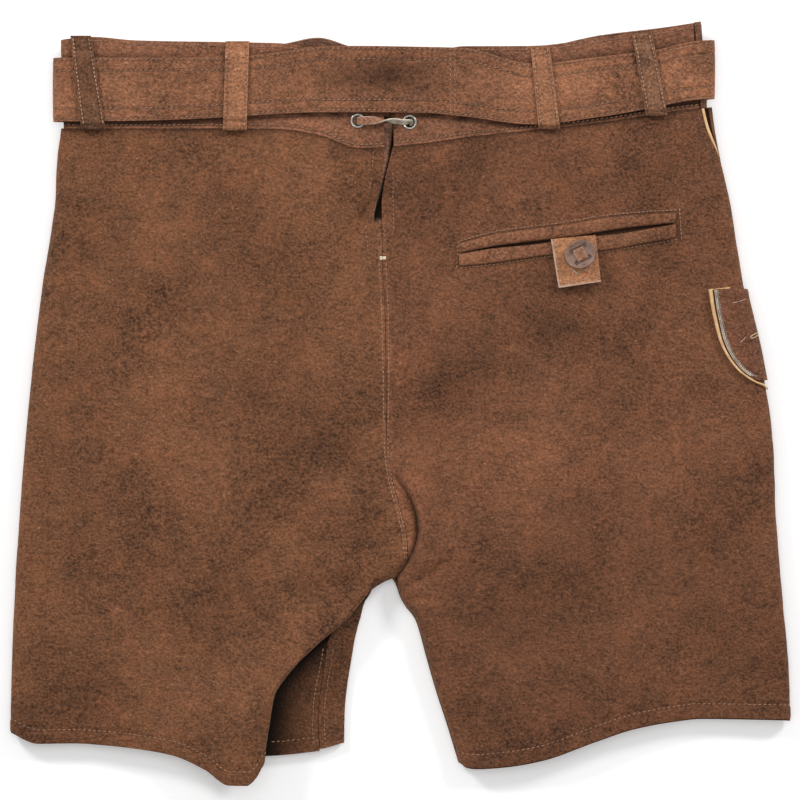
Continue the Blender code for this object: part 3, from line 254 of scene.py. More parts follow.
# Smaller creases, which only this fine surface has: a line, its width and its height.
CREASES = Table(
    "x0 y0 x1 y1 width height",
    (-21, 131, -27, 119, 2.4, -1.7), (-13, 128, -12.4, 92, 1.6, 0.5),
    (2, -121, 28, -103, 2.6, -1.3), (1, -128, 20, -127, 2.4, -1.1),
    (10, -140, 22, -151, 2.8, -1.2), (6, -112, 34, -92, 5.0, 0.8),
    (14, -132, 44, -134, 6.0, 0.7), (-26, -98, -60, -92, 7.0, -0.8),
    (-20, -108, -70, -112, 8.0, 0.9), (-40, -132, -92, -166, 10.0, 1.2),
    (-58, -140, -112, -196, 9.0, -1.1), (-100, -178, -112, -232, 8.0, 1.0),
    (-128, -168, -140, -222, 9.0, -0.8), (-30, -20, -90, -2, 14.0, -1.2),
    (-20, -70, -80, -60, 12.0, 0.9), (0, -38, 60, -30, 9.0, 1.1),
    (14, 0, 70, 14, 14.0, -0.9), (-190, 150, -150, 100, 20.0, -1.2),
    (-120, 150, -80, 120, 18.0, 0.9), (-210, 30, -160, 10, 22.0, 1.0),
    (-170, -60, -120, -90, 20.0, -1.0), (-220, -150, -170, -140, 16.0, 0.8),
    (60, 160, 120, 150, 16.0, -0.9), (140, 60, 200, 40, 18.0, -1.1),
    (90, -40, 160, -60, 20.0, 1.1), (180, -40, 230, -60, 14.0, -0.9),
    (60, -150, 90, -200, 14.0, -1.0), (140, -140, 160, -190, 16.0, 1.0),
    (205, -150, 225, -195, 9.0, 0.8))
# Soft rises of the front's cloth, which lies with its right side on the floor.
FRONT_CREASES = Table(
    "x0 y0 x1 y1 width height",
    (-190, 120, -90, 90, 9.0, 1.3), (-200, 20, -110, 40, 12.0, 1.0),
    (-60, -40, -150, -80, 10.0, 1.5), (-40, -85, -130, -150, 8.0, 1.2),
    (-170, -120, -190, -200, 9.0, 0.9), (30, -70, 120, -100, 10.0, 1.4),
    (20, -95, 90, -170, 8.0, 1.1), (60, 40, 170, 10, 12.0, 1.0),
    (40, 120, 140, 96, 9.0, 1.2), (150, -120, 170, -190, 9.0, 0.9))
# Edge of the small overlap on the right leg, from the seat seam to the crotch.
OVERLAP = Table(
    "x y rise",
    (-3.6, -44, 0.0), (-2.4, -48, 0.7), (2.4, -54.5, 1.6), (7.0, -63, 2.5), (10.4, -73, 3.0),
    (11.4, -83, 3.1), (9.8, -92, 2.9), (5.8, -102, 2.3), (1.4, -109, 1.0), (-2.0, -114, 0.0))
BACK_LOOPS = Table(
    "top_x top_y foot_x foot_y top_w foot_w",
    (-208.7, 238.6, -200.5, 178.4, 13.4, 16.0),
    (-106.8, 235.0, -108.6, 177.6, 15.6, 15.6),
    (89.7, 231.4, 95.6, 178.6, 12.6, 14.2),
    (155.7, 240.6, 165.3, 187.2, 13.2, 14.2))
FRONT_LOOPS = Table(
    "top_x top_y foot_x foot_y top_w foot_w",
    (-150, 233.0, -150, 180.5, 14, 14),
    (120, 236.0, 120, 188.5, 14, 14))
KNIFE = Table(
    "y x bead",
    (74.0, 200.2, 1.9), (60.0, 202.4, 1.8), (49.4, 204.7, 1.7), (41.2, 207.0, 1.5),
    (30.7, 211.9, 1.3), (22.1, 218.3, 1.2), (16.9, 224.6, 1.1), (11.5, 233.4, 1.0))
KNIFE_TOP = 74.0
KNIFE_LOW = 11.5
WELT = Table(
    "x top mouth low",
    (36.4, 104.6, 97.2, 88.6), (60, 110.8, 101.4, 91.0), (82.6, 114.1, 104.0, 94.3),
    (106, 117.0, 107.0, 97.2), (129, 121.0, 110.2, 98.8), (152, 123.5, 113.4, 102.6),
    (178, 125.0, 117.0, 107.2))
WELT_ENDS = (37.0, 178.0)
MOUTH = 1.5          # gap between the welts
SEAM_TURN = Table("y angle", (150, 0), (160, 12), (172, 38), (182, 52), (194, 60))
EYELETS = Table("x y", (-28.8, 183.3), (4.9, 182.4))
GUSSET = Table(
    "y left fold right deep",
    (182, -20.0, -6.0, 0.4, 0.9),
    (160, -21.0, -9.0, -2.4, 1.0),
    (140, -22.8, -13.6, -4.8, 1.0),
    (120, -24.0, -18.6, -7.6, 0.8),
    (100, -20.4, -15.6, -9.6, 0.0),
    (84, -16.0, -12.6, -9.4, 0.0))
FRONT_CENTRE = -8.0

# %% [markdown]
# ## How high the leather lies
# The garment is two layers of leather on a table. The front is flat on it, the back rides over
# the belt's hidden end and over the garment's own fullness. Everything is worked out from these
# few height functions, so that a crease added here reaches every piece that lies on it.


# %% Heights of both layers
def near_lines(table, x, y):
    """Sum of soft ridges along a table's lines."""
    total = np.zeros(np.broadcast(x, y).shape)
    for x0, y0, x1, y1, width, height in table:
        ex, ey = x1 - x0, y1 - y0
        t = np.clip(((x - x0) * ex + (y - y0) * ey) / (ex * ex + ey * ey), 0, 1)
        d2 = (x - x0 - t * ex) ** 2 + (y - y0 - t * ey) ** 2
        total = total + height * np.exp(-d2 / width ** 2)
    return total


BACK_LINES = np.vstack((RIDGES.rows, CREASES.rows))


def overlap(x, y):
    """Step of the right leg over the seat: a sharp edge with a crevice at its foot."""
    s = x - OVERLAP.at("x", y, 1)
    rise = OVERLAP.at("rise", y, 1) * (y < -44) * (y > -114)
    over = ease((s + 0.4) / 1.5) * bump(np.maximum(s - 1, 0), 9.0)
    crevice = bump(s + 1.6, 2.2)
    return rise * (0.9 * over - 0.75 * crevice)


def ridges(x, y):
    return near_lines(BACK_LINES, x, y) + overlap(x, y)


def lift(x):
    """The front waistband rises over the belt's lap and buckle."""
    lap = ease((np.asarray(x) + 136) / 16) * ease((-6 - np.asarray(x)) / 18)
    return 4.2 * np.exp(-((np.asarray(x) + 8) / 45.0) ** 2) + 1.6 * lap


def back_waist(x):
    return BACK_WAIST_Z + 3.8 * np.exp(-((np.asarray(x) + 10) / 60.0) ** 2)


def front_waist(x):
    return FRONT_WAIST_Z + lift(x)


def front_seam(x):
    return mix(178.5, 192.5, (np.asarray(x) + 221) / 421.0)


def seam_height(y):
    low = (BACK_WAIST_Z + FRONT_WAIST_Z) / 2
    return mix(SEAM_Z, low, ease((np.asarray(y) - 128) / 50.0))


def back_height(x, y):
    """Middle of the back cloth, away from its rounded edges."""
    x = np.asarray(x, float)
    y = np.asarray(y, float)
    body = BODY_Z + ridges(x, y) - 2.0 * ease((-120 - y) / 100.0)
    top = back_waist(x) - 0.3
    return mix(body, top, ease(1 - (WAIST.at("seam", x) - y) / 48.0))


def front_height(x, y):
    """Middle of the front cloth, flat on the floor below the waist and the pocket."""
    x = np.asarray(x, float)
    y = np.asarray(y, float)
    up = ease(1 - (front_seam(x) - y) / 48.0)
    pocket = ease((x - 148) / 20.0) * ease((y + 12) / 14.0) * ease((98 - y) / 14.0)
    flat = SUEDE / 2 + (TRIM + GAP + 0.75) * pocket
    flat = flat + near_lines(FRONT_CREASES.rows, x, y)
    return mix(flat, front_waist(x) - 0.3, up)


def outline(y, side):
    """Outermost middle line of the cloth at a side, +1 right and -1 left."""
    name = "right" if side > 0 else "left"
    return SIDES.at(name, y) - side * SUEDE / 2


print("creases on the back:", len(BACK_LINES), "and on the front:", len(FRONT_CREASES.rows))

# %% [markdown]
# ## Finishes
# Suede is the flesh side of a hide: short fibres that lie this way and that, so its colour is
# cloudy at the size of a hand, streaky at a thumb and speckled at a hair. One node group makes
# those three sizes of cloud from a dye colour, and each leather takes it with its own dye.
# A second group roughens a cut edge, where the pale middle of the hide shows.


# %% Node helpers
def new_group(name, inputs, outputs):
    """A node group. Inputs have their values, a colour's being a tuple."""
    group = bpy.data.node_groups.new(name, "ShaderNodeTree")
    for label, value in inputs.items():
        kind = "NodeSocketColor" if isinstance(value, tuple) else "NodeSocketFloat"
        socket = group.interface.new_socket(label, in_out="INPUT", socket_type=kind)
        socket.default_value = value
    for label in outputs:
        kind = "NodeSocketColor" if label == "Colour" else "NodeSocketFloat"
        group.interface.new_socket(label, in_out="OUTPUT", socket_type=kind)
    return group, group.nodes.new("NodeGroupInput"), group.nodes.new("NodeGroupOutput")


def set_inputs(node, **values):
    """Set a node's inputs by name, with _ for a space."""
    for label, value in values.items():
        node.inputs[label.replace("_", " ")].default_value = value


def maths(tree, operation, a, b):
    node = tree.nodes.new("ShaderNodeMath")
    node.operation = operation
    for socket, value in zip(node.inputs, (a, b)):
        if isinstance(value, (int, float)):
            socket.default_value = value
        else:
            tree.links.new(value, socket)
    return node.outputs[0]


def times(tree, a, b):
    return maths(tree, "MULTIPLY", a, b)


def plus(tree, a, b):
    return maths(tree, "ADD", a, b)


def feed(tree, node, **sources):
    """Lead sockets into a node's inputs by name, with _ for a space."""
    for label, source in sources.items():
        tree.links.new(source, node.inputs[label.replace("_", " ")])


def object_place(tree):
    return tree.nodes.new("ShaderNodeTexCoord").outputs["Object"]


def clouds(tree, place, size, detail=3.0, rough=0.6, stretch=(1, 1, 1)):
    """Noise whose clouds are about size mm across."""
    mapping = tree.nodes.new("ShaderNodeMapping")
    set_inputs(mapping, Scale=stretch)
    feed(tree, mapping, Vector=place)
    node = tree.nodes.new("ShaderNodeTexNoise")
    set_inputs(node, Scale=1 / (size * MM), Detail=detail, Roughness=rough)
    feed(tree, node, Vector=mapping.outputs[0])
    return node.outputs["Fac"]


def ranged(tree, value, low, high, to_low=0.0, to_high=1.0):
    node = tree.nodes.new("ShaderNodeMapRange")
    feed(tree, node, Value=value)
    for label, number in zip(("From Min", "From Max", "To Min", "To Max"),
                             (low, high, to_low, to_high)):
        node.inputs[label].default_value = number
    return node.outputs[0]


def blended(tree, mode, factor, a, b):
    node = tree.nodes.new("ShaderNodeMix")
    node.data_type = "RGBA"
    node.blend_type = mode
    node.clamp_factor = True
    for socket, value in zip((node.inputs[0], node.inputs[6], node.inputs[7]), (factor, a, b)):
        if isinstance(value, (int, float)):
            socket.default_value = value
        elif isinstance(value, tuple):
            socket.default_value = (*value, 1)
        else:
            tree.links.new(value, socket)
    return node.outputs[2]


# %% Suede nap, as a node group
def nap_group():
    group, source, result = new_group(
        "suede nap", {"Dye": (0.17, 0.07, 0.03, 1), "Cloud": 0.5, "Fibre": 0.5},
        ("Colour", "Roughness", "Height"))
    place = object_place(group)
    hand = ranged(group, clouds(group, place, 62, 3.0, 0.62), 0.32, 0.68)
    thumb = ranged(group, clouds(group, place, 19, 3.0, 0.6), 0.30, 0.70)
    streak = ranged(group, clouds(group, place, 4.5, 3.0, 0.7, (0.85, 1.15, 1)), 0.32, 0.68)
    hair = ranged(group, clouds(group, place, 1.7, 2.0, 0.7), 0.32, 0.68)
    fluff = ranged(group, clouds(group, place, 2.4, 2.0, 0.6, (0.8, 1.2, 1)), 0.60, 0.72)
    broad = plus(group, times(group, hand, 0.60), times(group, thumb, 0.40))
    cloudy = times(group, maths(group, "SUBTRACT", broad, 0.5), source.outputs["Cloud"])
    small = plus(group, times(group, streak, 0.3), times(group, hair, 0.7))
    hairy = times(group, maths(group, "SUBTRACT", small, 0.5), source.outputs["Fibre"])
    level = plus(group, plus(group, cloudy, hairy), 1.0)
    scale = group.nodes.new("ShaderNodeVectorMath")
    scale.operation = "SCALE"
    group.links.new(source.outputs["Dye"], scale.inputs[0])
    group.links.new(level, scale.inputs["Scale"])
    warm = blended(group, "MULTIPLY", times(group, thumb, 0.55), scale.outputs[0],
                   (1.10, 0.97, 0.90))
    lint = times(group, fluff, 0.42)
    light = group.nodes.new("ShaderNodeVectorMath")
    light.operation = "MULTIPLY"
    light.inputs[1].default_value = (2.1, 2.3, 2.5)
    group.links.new(scale.outputs[0], light.inputs[0])
    colour = blended(group, "MIX", lint, warm, light.outputs[0])
    feed(group, result, Colour=colour, Roughness=ranged(group, thumb, 0, 1, 0.80, 0.96),
         Height=plus(group, small, times(group, fluff, 0.4)))
    return group


def fray_group():
    """Cut edge of a hide: pale, fibrous, darker where it has been handled."""
    group, source, result = new_group(
        "cut edge", {"Pale": (0.5, 0.4, 0.3, 1), "Handled": (0.2, 0.1, 0.06, 1)},
        ("Colour", "Height"))
    place = object_place(group)
    fibre = clouds(group, place, 1.2, 3.0, 0.7)
    wear_and_shade = ranged(group, clouds(group, place, 7, 3.0, 0.6), 0.42, 0.66)
    colour = blended(group, "MIX", wear_and_shade, source.outputs["Pale"], source.outputs["Handled"])
    dark = blended(group, "MULTIPLY", ranged(group, fibre, 0.35, 0.6, 0.55, 0.0), colour,
                   (0.62, 0.58, 0.55))
    feed(group, result, Colour=dark, Height=fibre)
    return group


NAP = nap_group()
FRAY = fray_group()
print("node groups:", NAP.name, "and", FRAY.name)


# %% Leathers, threads and metals
def blank_material(name, roughness, metallic=0.0):
    mat = bpy.data.materials.new(name)
    mat.use_nodes = True
    shader = mat.node_tree.nodes["Principled BSDF"]
    set_inputs(shader, Roughness=roughness, Metallic=metallic)
    return mat, mat.node_tree, shader


def add_bump(tree, shader, height, strength, depth):
    node = tree.nodes.new("ShaderNodeBump")
    set_inputs(node, Strength=strength, Distance=depth * MM)
    feed(tree, node, Height=height)
    feed(tree, shader, Normal=node.outputs[0])


def suede(name, dye, cloud=0.85, fibre=1.3, depth=0.9):
    """Napped leather. The points' own shade darkens or lightens the dye."""
    mat, tree, shader = blank_material(name, 0.9)
    group = tree.nodes.new("ShaderNodeGroup")
    group.node_tree = NAP
    set_inputs(group, Cloud=cloud, Fibre=fibre)
    shade = tree.nodes.new("ShaderNodeAttribute")
    shade.attribute_name = "shade"
    feed(tree, group, Dye=blended(tree, "MULTIPLY", 1.0, shade.outputs["Color"], dye))
    feed(tree, shader, Base_Color=group.outputs["Colour"], Roughness=group.outputs["Roughness"])
    set_inputs(shader, Sheen_Weight=0.12, Sheen_Roughness=0.6, Sheen_Tint=(0.75, 0.5, 0.36, 1),
               Specular_IOR_Level=0.12)
    add_bump(tree, shader, group.outputs["Height"], 0.8, depth)
    return mat


def cut_edge(name, pale, handled):
    mat, tree, shader = blank_material(name, 0.9)
    group = tree.nodes.new("ShaderNodeGroup")
    group.node_tree = FRAY
    set_inputs(group, Pale=(*pale, 1), Handled=(*handled, 1))
    feed(tree, shader, Base_Color=group.outputs["Colour"])
    set_inputs(shader, Specular_IOR_Level=0.15)
    add_bump(tree, shader, group.outputs["Height"], 0.7, 0.3)
    return mat


def thread(name, colour, fuzzy=0.35):
    """Twisted sewing thread, with a little variation from stitch to stitch."""
    mat, tree, shader = blank_material(name, 0.62)
    place = object_place(tree)
    wear_and_shade = ranged(tree, clouds(tree, place, 9, 3.0, 0.6), 0.38, 0.66)
    dark = tuple(c * (1 - fuzzy) for c in colour)
    feed(tree, shader, Base_Color=blended(tree, "MIX", wear_and_shade, colour, dark))
    wave = tree.nodes.new("ShaderNodeTexWave")
    wave.bands_direction = "DIAGONAL"
    set_inputs(wave, Scale=420)
    feed(tree, wave, Vector=place)
    add_bump(tree, shader, wave.outputs["Fac"], 0.5, 0.1)
    set_inputs(shader, Sheen_Weight=0.15)
    return mat


def metal(name, colour, dull):
    """Plated metal, dulled in small clouds."""
    mat, tree, shader = blank_material(name, 0.3, 1.0)
    place = object_place(tree)
    haze = clouds(tree, place, 2.5, 4.0, 0.7)
    feed(tree, shader, Roughness=ranged(tree, haze, 0.3, 0.7, 0.2, 0.48),
         Base_Color=blended(tree, "MIX", ranged(tree, haze, 0.4, 0.7), colour, dull))
    add_bump(tree, shader, haze, 0.25, 0.05)
    return mat


def smooth_leather(name, colour, dark):
    """Grain side, as on piping: finely pebbled, a little polished."""
    mat, tree, shader = blank_material(name, 0.5)
    place = object_place(tree)
    pebble = tree.nodes.new("ShaderNodeTexVoronoi")
    set_inputs(pebble, Scale=1400)
    feed(tree, pebble, Vector=place)
    stain = ranged(tree, clouds(tree, place, 8, 4.0, 0.65), 0.42, 0.68)
    feed(tree, shader, Base_Color=blended(tree, "MIX", stain, colour, dark),
         Roughness=ranged(tree, stain, 0, 1, 0.42, 0.66))
    add_bump(tree, shader, pebble.outputs["Distance"], 0.35, 0.12)
    return mat


def horn(name):
    """Button blank: brown with grey bloom and faint growth rings."""
    mat, tree, shader = blank_material(name, 0.4)
    place = object_place(tree)
    grain = ranged(tree, clouds(tree, place, 3.2, 4.0, 0.6, (0.5, 1.8, 1)), 0.35, 0.68)
    bloom = ranged(tree, clouds(tree, place, 6.0, 3.0, 0.5), 0.48, 0.8, 0.0, 0.7)
    brown = blended(tree, "MIX", grain, (0.150, 0.072, 0.045), (0.250, 0.140, 0.100))
    feed(tree, shader, Base_Color=blended(tree, "MIX", bloom, brown, (0.30, 0.205, 0.165)),
         Roughness=ranged(tree, grain, 0, 1, 0.34, 0.55))
    set_inputs(shader, Coat_Weight=0.15)
    add_bump(tree, shader, grain, 0.35, 0.08)
    return mat


LEATHER = {
    "back_left": suede("brown suede, left back", (0.150, 0.0645, 0.0315)),
    "back_right": suede("brown suede, right back", (0.140, 0.059, 0.030)),
    "front": suede("brown suede, front", (0.145, 0.062, 0.031)),
    "gusset": suede("brown suede, gusset", (0.230, 0.118, 0.078)),
    "band": suede("brown suede, waistband", (0.200, 0.088, 0.049)),
    "front_band": suede("brown suede, front waistband", (0.150, 0.072, 0.042)),
    "belt": suede("warm brown suede, belt", (0.192, 0.084, 0.044), 0.9),
    "welt": suede("brown suede, welts", (0.185, 0.080, 0.042)),
    "tab": suede("tan suede, tab", (0.400, 0.185, 0.092), 0.5, 1.0),
    "knife": suede("red brown suede, knife pocket", (0.142, 0.060, 0.033)),
    "loop_1": suede("dark suede, first loop", (0.135, 0.063, 0.034)),
    "loop_2": suede("tan suede, second loop", (0.275, 0.124, 0.064)),
    "loop_3": suede("tan suede, third loop", (0.228, 0.104, 0.054)),
    "loop_4": suede("grey brown suede, fourth loop", (0.190, 0.094, 0.054)),
    "thong": suede("tan leather, lace", (0.285, 0.140, 0.088), 0.6, 0.9)}
EDGE = {
    "brown": cut_edge("brown cut edge", (0.21, 0.105, 0.06), (0.10, 0.045, 0.025)),
    "grey": cut_edge("grey cut edge", (0.36, 0.27, 0.20), (0.19, 0.12, 0.08)),
    "yellow": cut_edge("yellow tan cut edge", (0.56, 0.36, 0.18), (0.30, 0.16, 0.08)),
    "pink": cut_edge("pale pink cut edge", (0.56, 0.40, 0.32), (0.40, 0.25, 0.18)),
    "cream": cut_edge("cream cut edge", (0.64, 0.58, 0.47), (0.36, 0.30, 0.23))}
THREAD = {
    "brown": thread("brown thread", (0.300, 0.142, 0.074), 0.6),
    "dark": thread("dark brown thread", (0.100, 0.047, 0.028)),
    "tan": thread("tan thread", (0.400, 0.220, 0.125), 0.5),
    "rust": thread("rust thread", (0.360, 0.178, 0.095), 0.5),
    "cream": thread("cream thread", (0.80, 0.66, 0.48), 0.2),
    "white": thread("white thread", (0.78, 0.76, 0.72), 0.2),
    "yellow": thread("yellow thread", (0.72, 0.60, 0.30), 0.2),
    "pink": thread("pink thread", (0.62, 0.42, 0.36), 0.2)}
NICKEL = metal("nickel", (0.56, 0.55, 0.51), (0.26, 0.24, 0.21))
GOLD = smooth_leather("gold tan piping leather", (0.70, 0.45, 0.22), (0.50, 0.28, 0.12))
HORN = horn("horn")
print("finishes:", len(bpy.data.materials))

# %% [markdown]
# ## Shaping tools
# Leather is made as a grid of points on the middle of its wall. The grid is pushed in or out
# where it is stitched or folded, then given its thickness, with its own finish on the cut edge.
# Straps are lofts of a rounded section along a path. Each point carries a shade, which lightens
# or darkens the dye: tone that varies from place to place, and painted shade in grooves, creases,
# seams and recesses.


# %% Shade: places where the dye is lighter or darker, and two painted shadows
SHADES = Table(
    "x y rx ry amount",
    (-150, 150, 70, 30, 0.06), (-190, 110, 22, 50, -0.10), (-120, 100, 50, 40, -0.14),
    (-50, 120, 34, 44, 0.14), (-165, 40, 50, 34, 0.10), (-95, 20, 46, 40, -0.10),
    (-30, 30, 24, 46, 0.08), (-210, -20, 26, 60, -0.08), (-130, -40, 50, 40, 0.10),
    (-60, -30, 40, 22, -0.12), (-70, -80, 44, 26, 0.08), (-190, -120, 40, 40, 0.06),
    (-120, -130, 40, 36, -0.14), (-205, -190, 36, 26, -0.12), (-150, -200, 30, 24, 0.08),
    (-70, -140, 36, 18, 0.12), (-105, -190, 20, 34, 0.12), (-92, -215, 8, 30, -0.14),
    (30, 140, 40, 20, -0.10), (90, 150, 60, 16, -0.16), (60, 95, 26, 24, 0.10),
    (170, 150, 30, 26, -0.08), (140, 70, 60, 16, 0.10), (95, 50, 46, 18, -0.18),
    (190, 30, 24, 46, 0.06), (40, 20, 36, 30, -0.08), (22, -20, 22, 9, -0.16),
    (80, -40, 50, 26, 0.14), (160, -30, 40, 40, 0.06), (40, -70, 26, 30, 0.10),
    (110, -100, 46, 34, -0.08), (200, -90, 30, 50, -0.10), (60, -140, 30, 40, -0.12),
    (150, -160, 50, 30, 0.10), (215, -180, 26, 26, -0.06), (95, -205, 40, 18, -0.06),
    # The last row on the next line is painted shade in the pucker beside the split's closed end.
    (-2, -20, 9, 70, 0.10), (2, -88, 10, 26, 0.18), (-25, 125, 4.5, 6, -0.45),
    # The first row on the next line is a painted shadow under the pocket tab's lower edge.
    (116, 72.5, 17, 4.0, -0.45), (110, 150, 90, 34, 0.14), (130, -150, 90, 50, -0.14),
    (-120, -170, 90, 40, 0.04))
BELT_SHADES = Table(
    "x y rx ry amount",
    (-205, 205, 30, 30, 0.12), (-160, 200, 30, 12, 0.14), (-130, 208, 18, 16, 0.10),
    (-80, 205, 28, 14, 0.05), (-55, 222, 30, 7, -0.10), (-30, 212, 26, 9, -0.42),
    (-6, 214, 16, 10, -0.40), (14, 212, 20, 12, -0.22), (-20, 195, 40, 5, 0.06),
    (40, 205, 12, 20, 0.10), (52, 212, 12, 12, -0.10), (72, 208, 16, 14, 0.16),
    (100, 208, 20, 14, 0.38), (125, 204, 16, 10, 0.14), (140, 214, 14, 10, 0.30),
    (180, 208, 22, 24, 0.46), (-49, 219.5, 1.6, 1.6, 0.9), (75.5, 208, 1.2, 1.2, -0.7),
    (84, 212, 2.0, 2.6, -0.3), (-120, 224, 60, 3, -0.08))


def shade_of(points, table):
    total = np.ones(len(points))
    for x, y, rx, ry, amount in table.rows:
        total += amount * np.exp(-((points[:, 0] - x) / rx) ** 2
                                 - ((points[:, 1] - y) / ry) ** 2)
    return np.clip(total, 0.25, 2.5)


# %% Making a piece from points
def grid_faces(rows, cols, wrap=False):
    r, c = np.meshgrid(np.arange(rows - 1), np.arange(cols if wrap else cols - 1),
                       indexing="ij")
    a = r * cols + c
    b = r * cols + (c + 1) % cols
    return np.stack([a, b, b + cols, a + cols], -1).reshape(-1, 4)


def tube_faces(count, around):
    """Sides and both ends of a tube of rings."""
    last = (count - 1) * around
    return [tuple(f) for f in grid_faces(count, around, wrap=True)] \
        + [tuple(range(around))[::-1], tuple(range(last, last + around))]


def into_scene(name, data):
    ob = bpy.data.objects.new(name, data)
    bpy.context.scene.collection.objects.link(ob)
    return ob


def add_piece(name, points, faces, materials, node=None, sharp=48, shades=None, slots=None,
              wear_and_shade=None):
    """A mesh in metres from points in mm, riding on the frame in place of its plain solid.

    The last argument multiplies the shade of each point: painted shade in grooves, creases, seams
    and recesses, and a few lighter bands.
    """
    points = np.asarray(points, float).reshape(-1, 3)
    mesh = bpy.data.meshes.new(name)
    mesh.from_pydata((points * MM).tolist(), [], [tuple(int(i) for i in f) for f in faces])
    for mat in materials:
        mesh.materials.append(mat)
    if slots is not None:
        mesh.polygons.foreach_set("material_index", np.asarray(slots, np.int32))
    shade = mesh.attributes.new("shade", "FLOAT_COLOR", "POINT")
    level = shade_of(points, shades) if shades else np.ones(len(points))
    if wear_and_shade is not None:
        level = level * np.asarray(wear_and_shade).reshape(-1)
    shade.data.foreach_set("color", np.repeat(level, 4).astype(np.float32))
    mesh.update()
    mesh.shade_smooth()
    mesh.set_sharp_from_angle(angle=math.radians(sharp))
    ob = into_scene(name, mesh)
    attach(ob, "root")
    if node:
        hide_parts(node)
    return ob


def make_real(ob):
    """Put the piece's modifiers into its mesh."""
    graph = bpy.context.evaluated_depsgraph_get()
    mesh = bpy.data.meshes.new_from_object(ob.evaluated_get(graph))
    ob.modifiers.clear()
    ob.data = mesh
    mesh.set_sharp_from_angle(angle=math.radians(48))
    return ob


def cut_out(ob, cutter):
    """Take a closed cutter's shape out of a piece, and the cutter out of the scene."""
    cut = ob.modifiers.new("cut", "BOOLEAN")
    cut.operation = "DIFFERENCE"
    cut.object = cutter
    make_real(ob)
    bpy.data.objects.remove(cutter, do_unlink=True)


def face_up(ob):
    """Turn a closed piece's faces out."""
    mesh = ob.data
    mesh.calc_loop_triangles()
    co = np.empty(len(mesh.vertices) * 3)
    mesh.vertices.foreach_get("co", co)
    co = co.reshape(-1, 3)
    tri = np.empty(len(mesh.loop_triangles) * 3, np.int32)
    mesh.loop_triangles.foreach_get("vertices", tri)
    a, b, c = (co[tri.reshape(-1, 3)[:, i]] for i in range(3))
    total = np.einsum("ij,ij->", a, np.cross(b, c))
    if total < 0:
        mesh.flip_normals()
    return ob


def leather_wall(name, grid, thickness, face, edge, node=None, shades=None, wear_and_shade=None,
                 skived=None):
    """Wall of leather centred on a grid of points, with its own finish on the cut edge.

    skived marks the grid's faces, as rows and columns, where the cut edge shows from above.
    """
    rows, cols = grid.shape[:2]
    slots = None if skived is None else np.asarray(skived, int).reshape(-1)
    ob = add_piece(name, grid, grid_faces(rows, cols), [face, edge], node, shades=shades,
                   wear_and_shade=wear_and_shade, slots=slots)
    wall = ob.modifiers.new("wall", "SOLIDIFY")
    wall.thickness = thickness * MM
    wall.offset = 0.0
    wall.use_rim = True
    wall.material_offset_rim = 1
    make_real(ob)
    return face_up(ob)


def normals_of(grid):
    dr = np.gradient(grid, axis=0)
    dc = np.gradient(grid, axis=1)
    n = np.cross(dc, dr)
    return n / np.maximum(np.linalg.norm(n, axis=-1), 1e-9)[..., None]


def push(grid, amount):
    """Move a grid's points along its normals, upwards being out."""
    n = normals_of(grid)
    sign = np.sign(n[..., 2].mean())
    return grid + n * sign * np.asarray(amount)[..., None]


def from_last_row(grid):
    """Distance of each point from the last row, down its column."""
    step = np.linalg.norm(np.diff(grid, axis=0), axis=-1)
    total = np.cumsum(step[::-1], axis=0)[::-1]
    return np.concatenate([total, np.zeros((1, grid.shape[1]))])


def uneven(points, size, height, seed):
    """Slow unevenness of worked leather, the same each time."""
    flat = np.asarray(points, float).reshape(-1, 3)
    shift = Vector((seed * 7.3, seed * 3.1, seed * 11.7))
    values = [noise.noise(Vector(p) / size + shift) for p in flat]
    return np.array(values).reshape(np.asarray(points).shape[:-1]) * height


def along(points, count):
    """A smooth curve through points, read at count even steps."""
    points = np.asarray(points, float)
    length = run_of(points[:, :3])
    t = np.linspace(0, length[-1], count)
    return smooth_line(length, points, t)


def cut_of(grid):
    """Width, length and area of a grid laid flat, in metres."""
    down = np.linalg.norm(np.diff(grid, axis=0), axis=-1)
    cross = np.linalg.norm(np.diff(grid, axis=1), axis=-1)
    area = (0.5 * (down[:, :-1] + down[:, 1:]) * 0.5 * (cross[:-1] + cross[1:])).sum()
    width, length = cross.sum(1).max(), down.sum(0).max()
    return width * MM, length * MM, area * MM * MM


NARROWEST = 0.0105   # a strip this wide at least is cut, and turned in at its edges, m


def declare_sheet(ob, grid, rests_on=()):
    width, length, area = cut_of(grid)
    width, length = max(width, NARROWEST), max(length, NARROWEST)
    area = min(area, width * length)
    round(max(area, 0.31 * width * length), 6)
    print("%s: cut %.0f x %.0f mm, %.0f cm2" % (ob.name, width / MM, length / MM, area * 1e4))


# %% Straps, rods and rounded sections
def frames(points):
    """Unit tangents along a line of points."""
    step = np.diff(np.asarray(points, float), axis=0)
    step = unit(step)
    return unit(np.concatenate([step[:1], step[:-1] + step[1:], step[-1:]]))


def strap_section(half_width, half_thick, marks=(), steps=8, soft=0.45):
    """Rounded flat section, as rows of (across, up, top side): both in mm."""
    inner = half_width - soft
    top = sorted(set([round(v, 3) for v in np.linspace(-inner, inner, steps)]
                     + [round(s * (half_width - m + d), 3) for m in marks
                        for s in (-1, 1) for d in (-0.55, 0, 0.55)]))
    corner = [(half_width - soft * (1 - math.sin(a)), half_thick - soft * (1 - math.cos(a)))
              for a in np.radians((30, 60))]
    side = [(half_width, half_thick - soft), (half_width, 0), (half_width, soft - half_thick)]
    upper = [(x, half_thick, 1) for x in top]
    right = [(x, z, 0) for x, z in corner + side + [(x, -z) for x, z in corner[::-1]]]
    lower = [(x, -half_thick, -1) for x in np.linspace(inner, -inner, steps)]
    left = [(-x, -z, 0) for x, z, _ in right]
    return np.array(upper + right + lower + left)


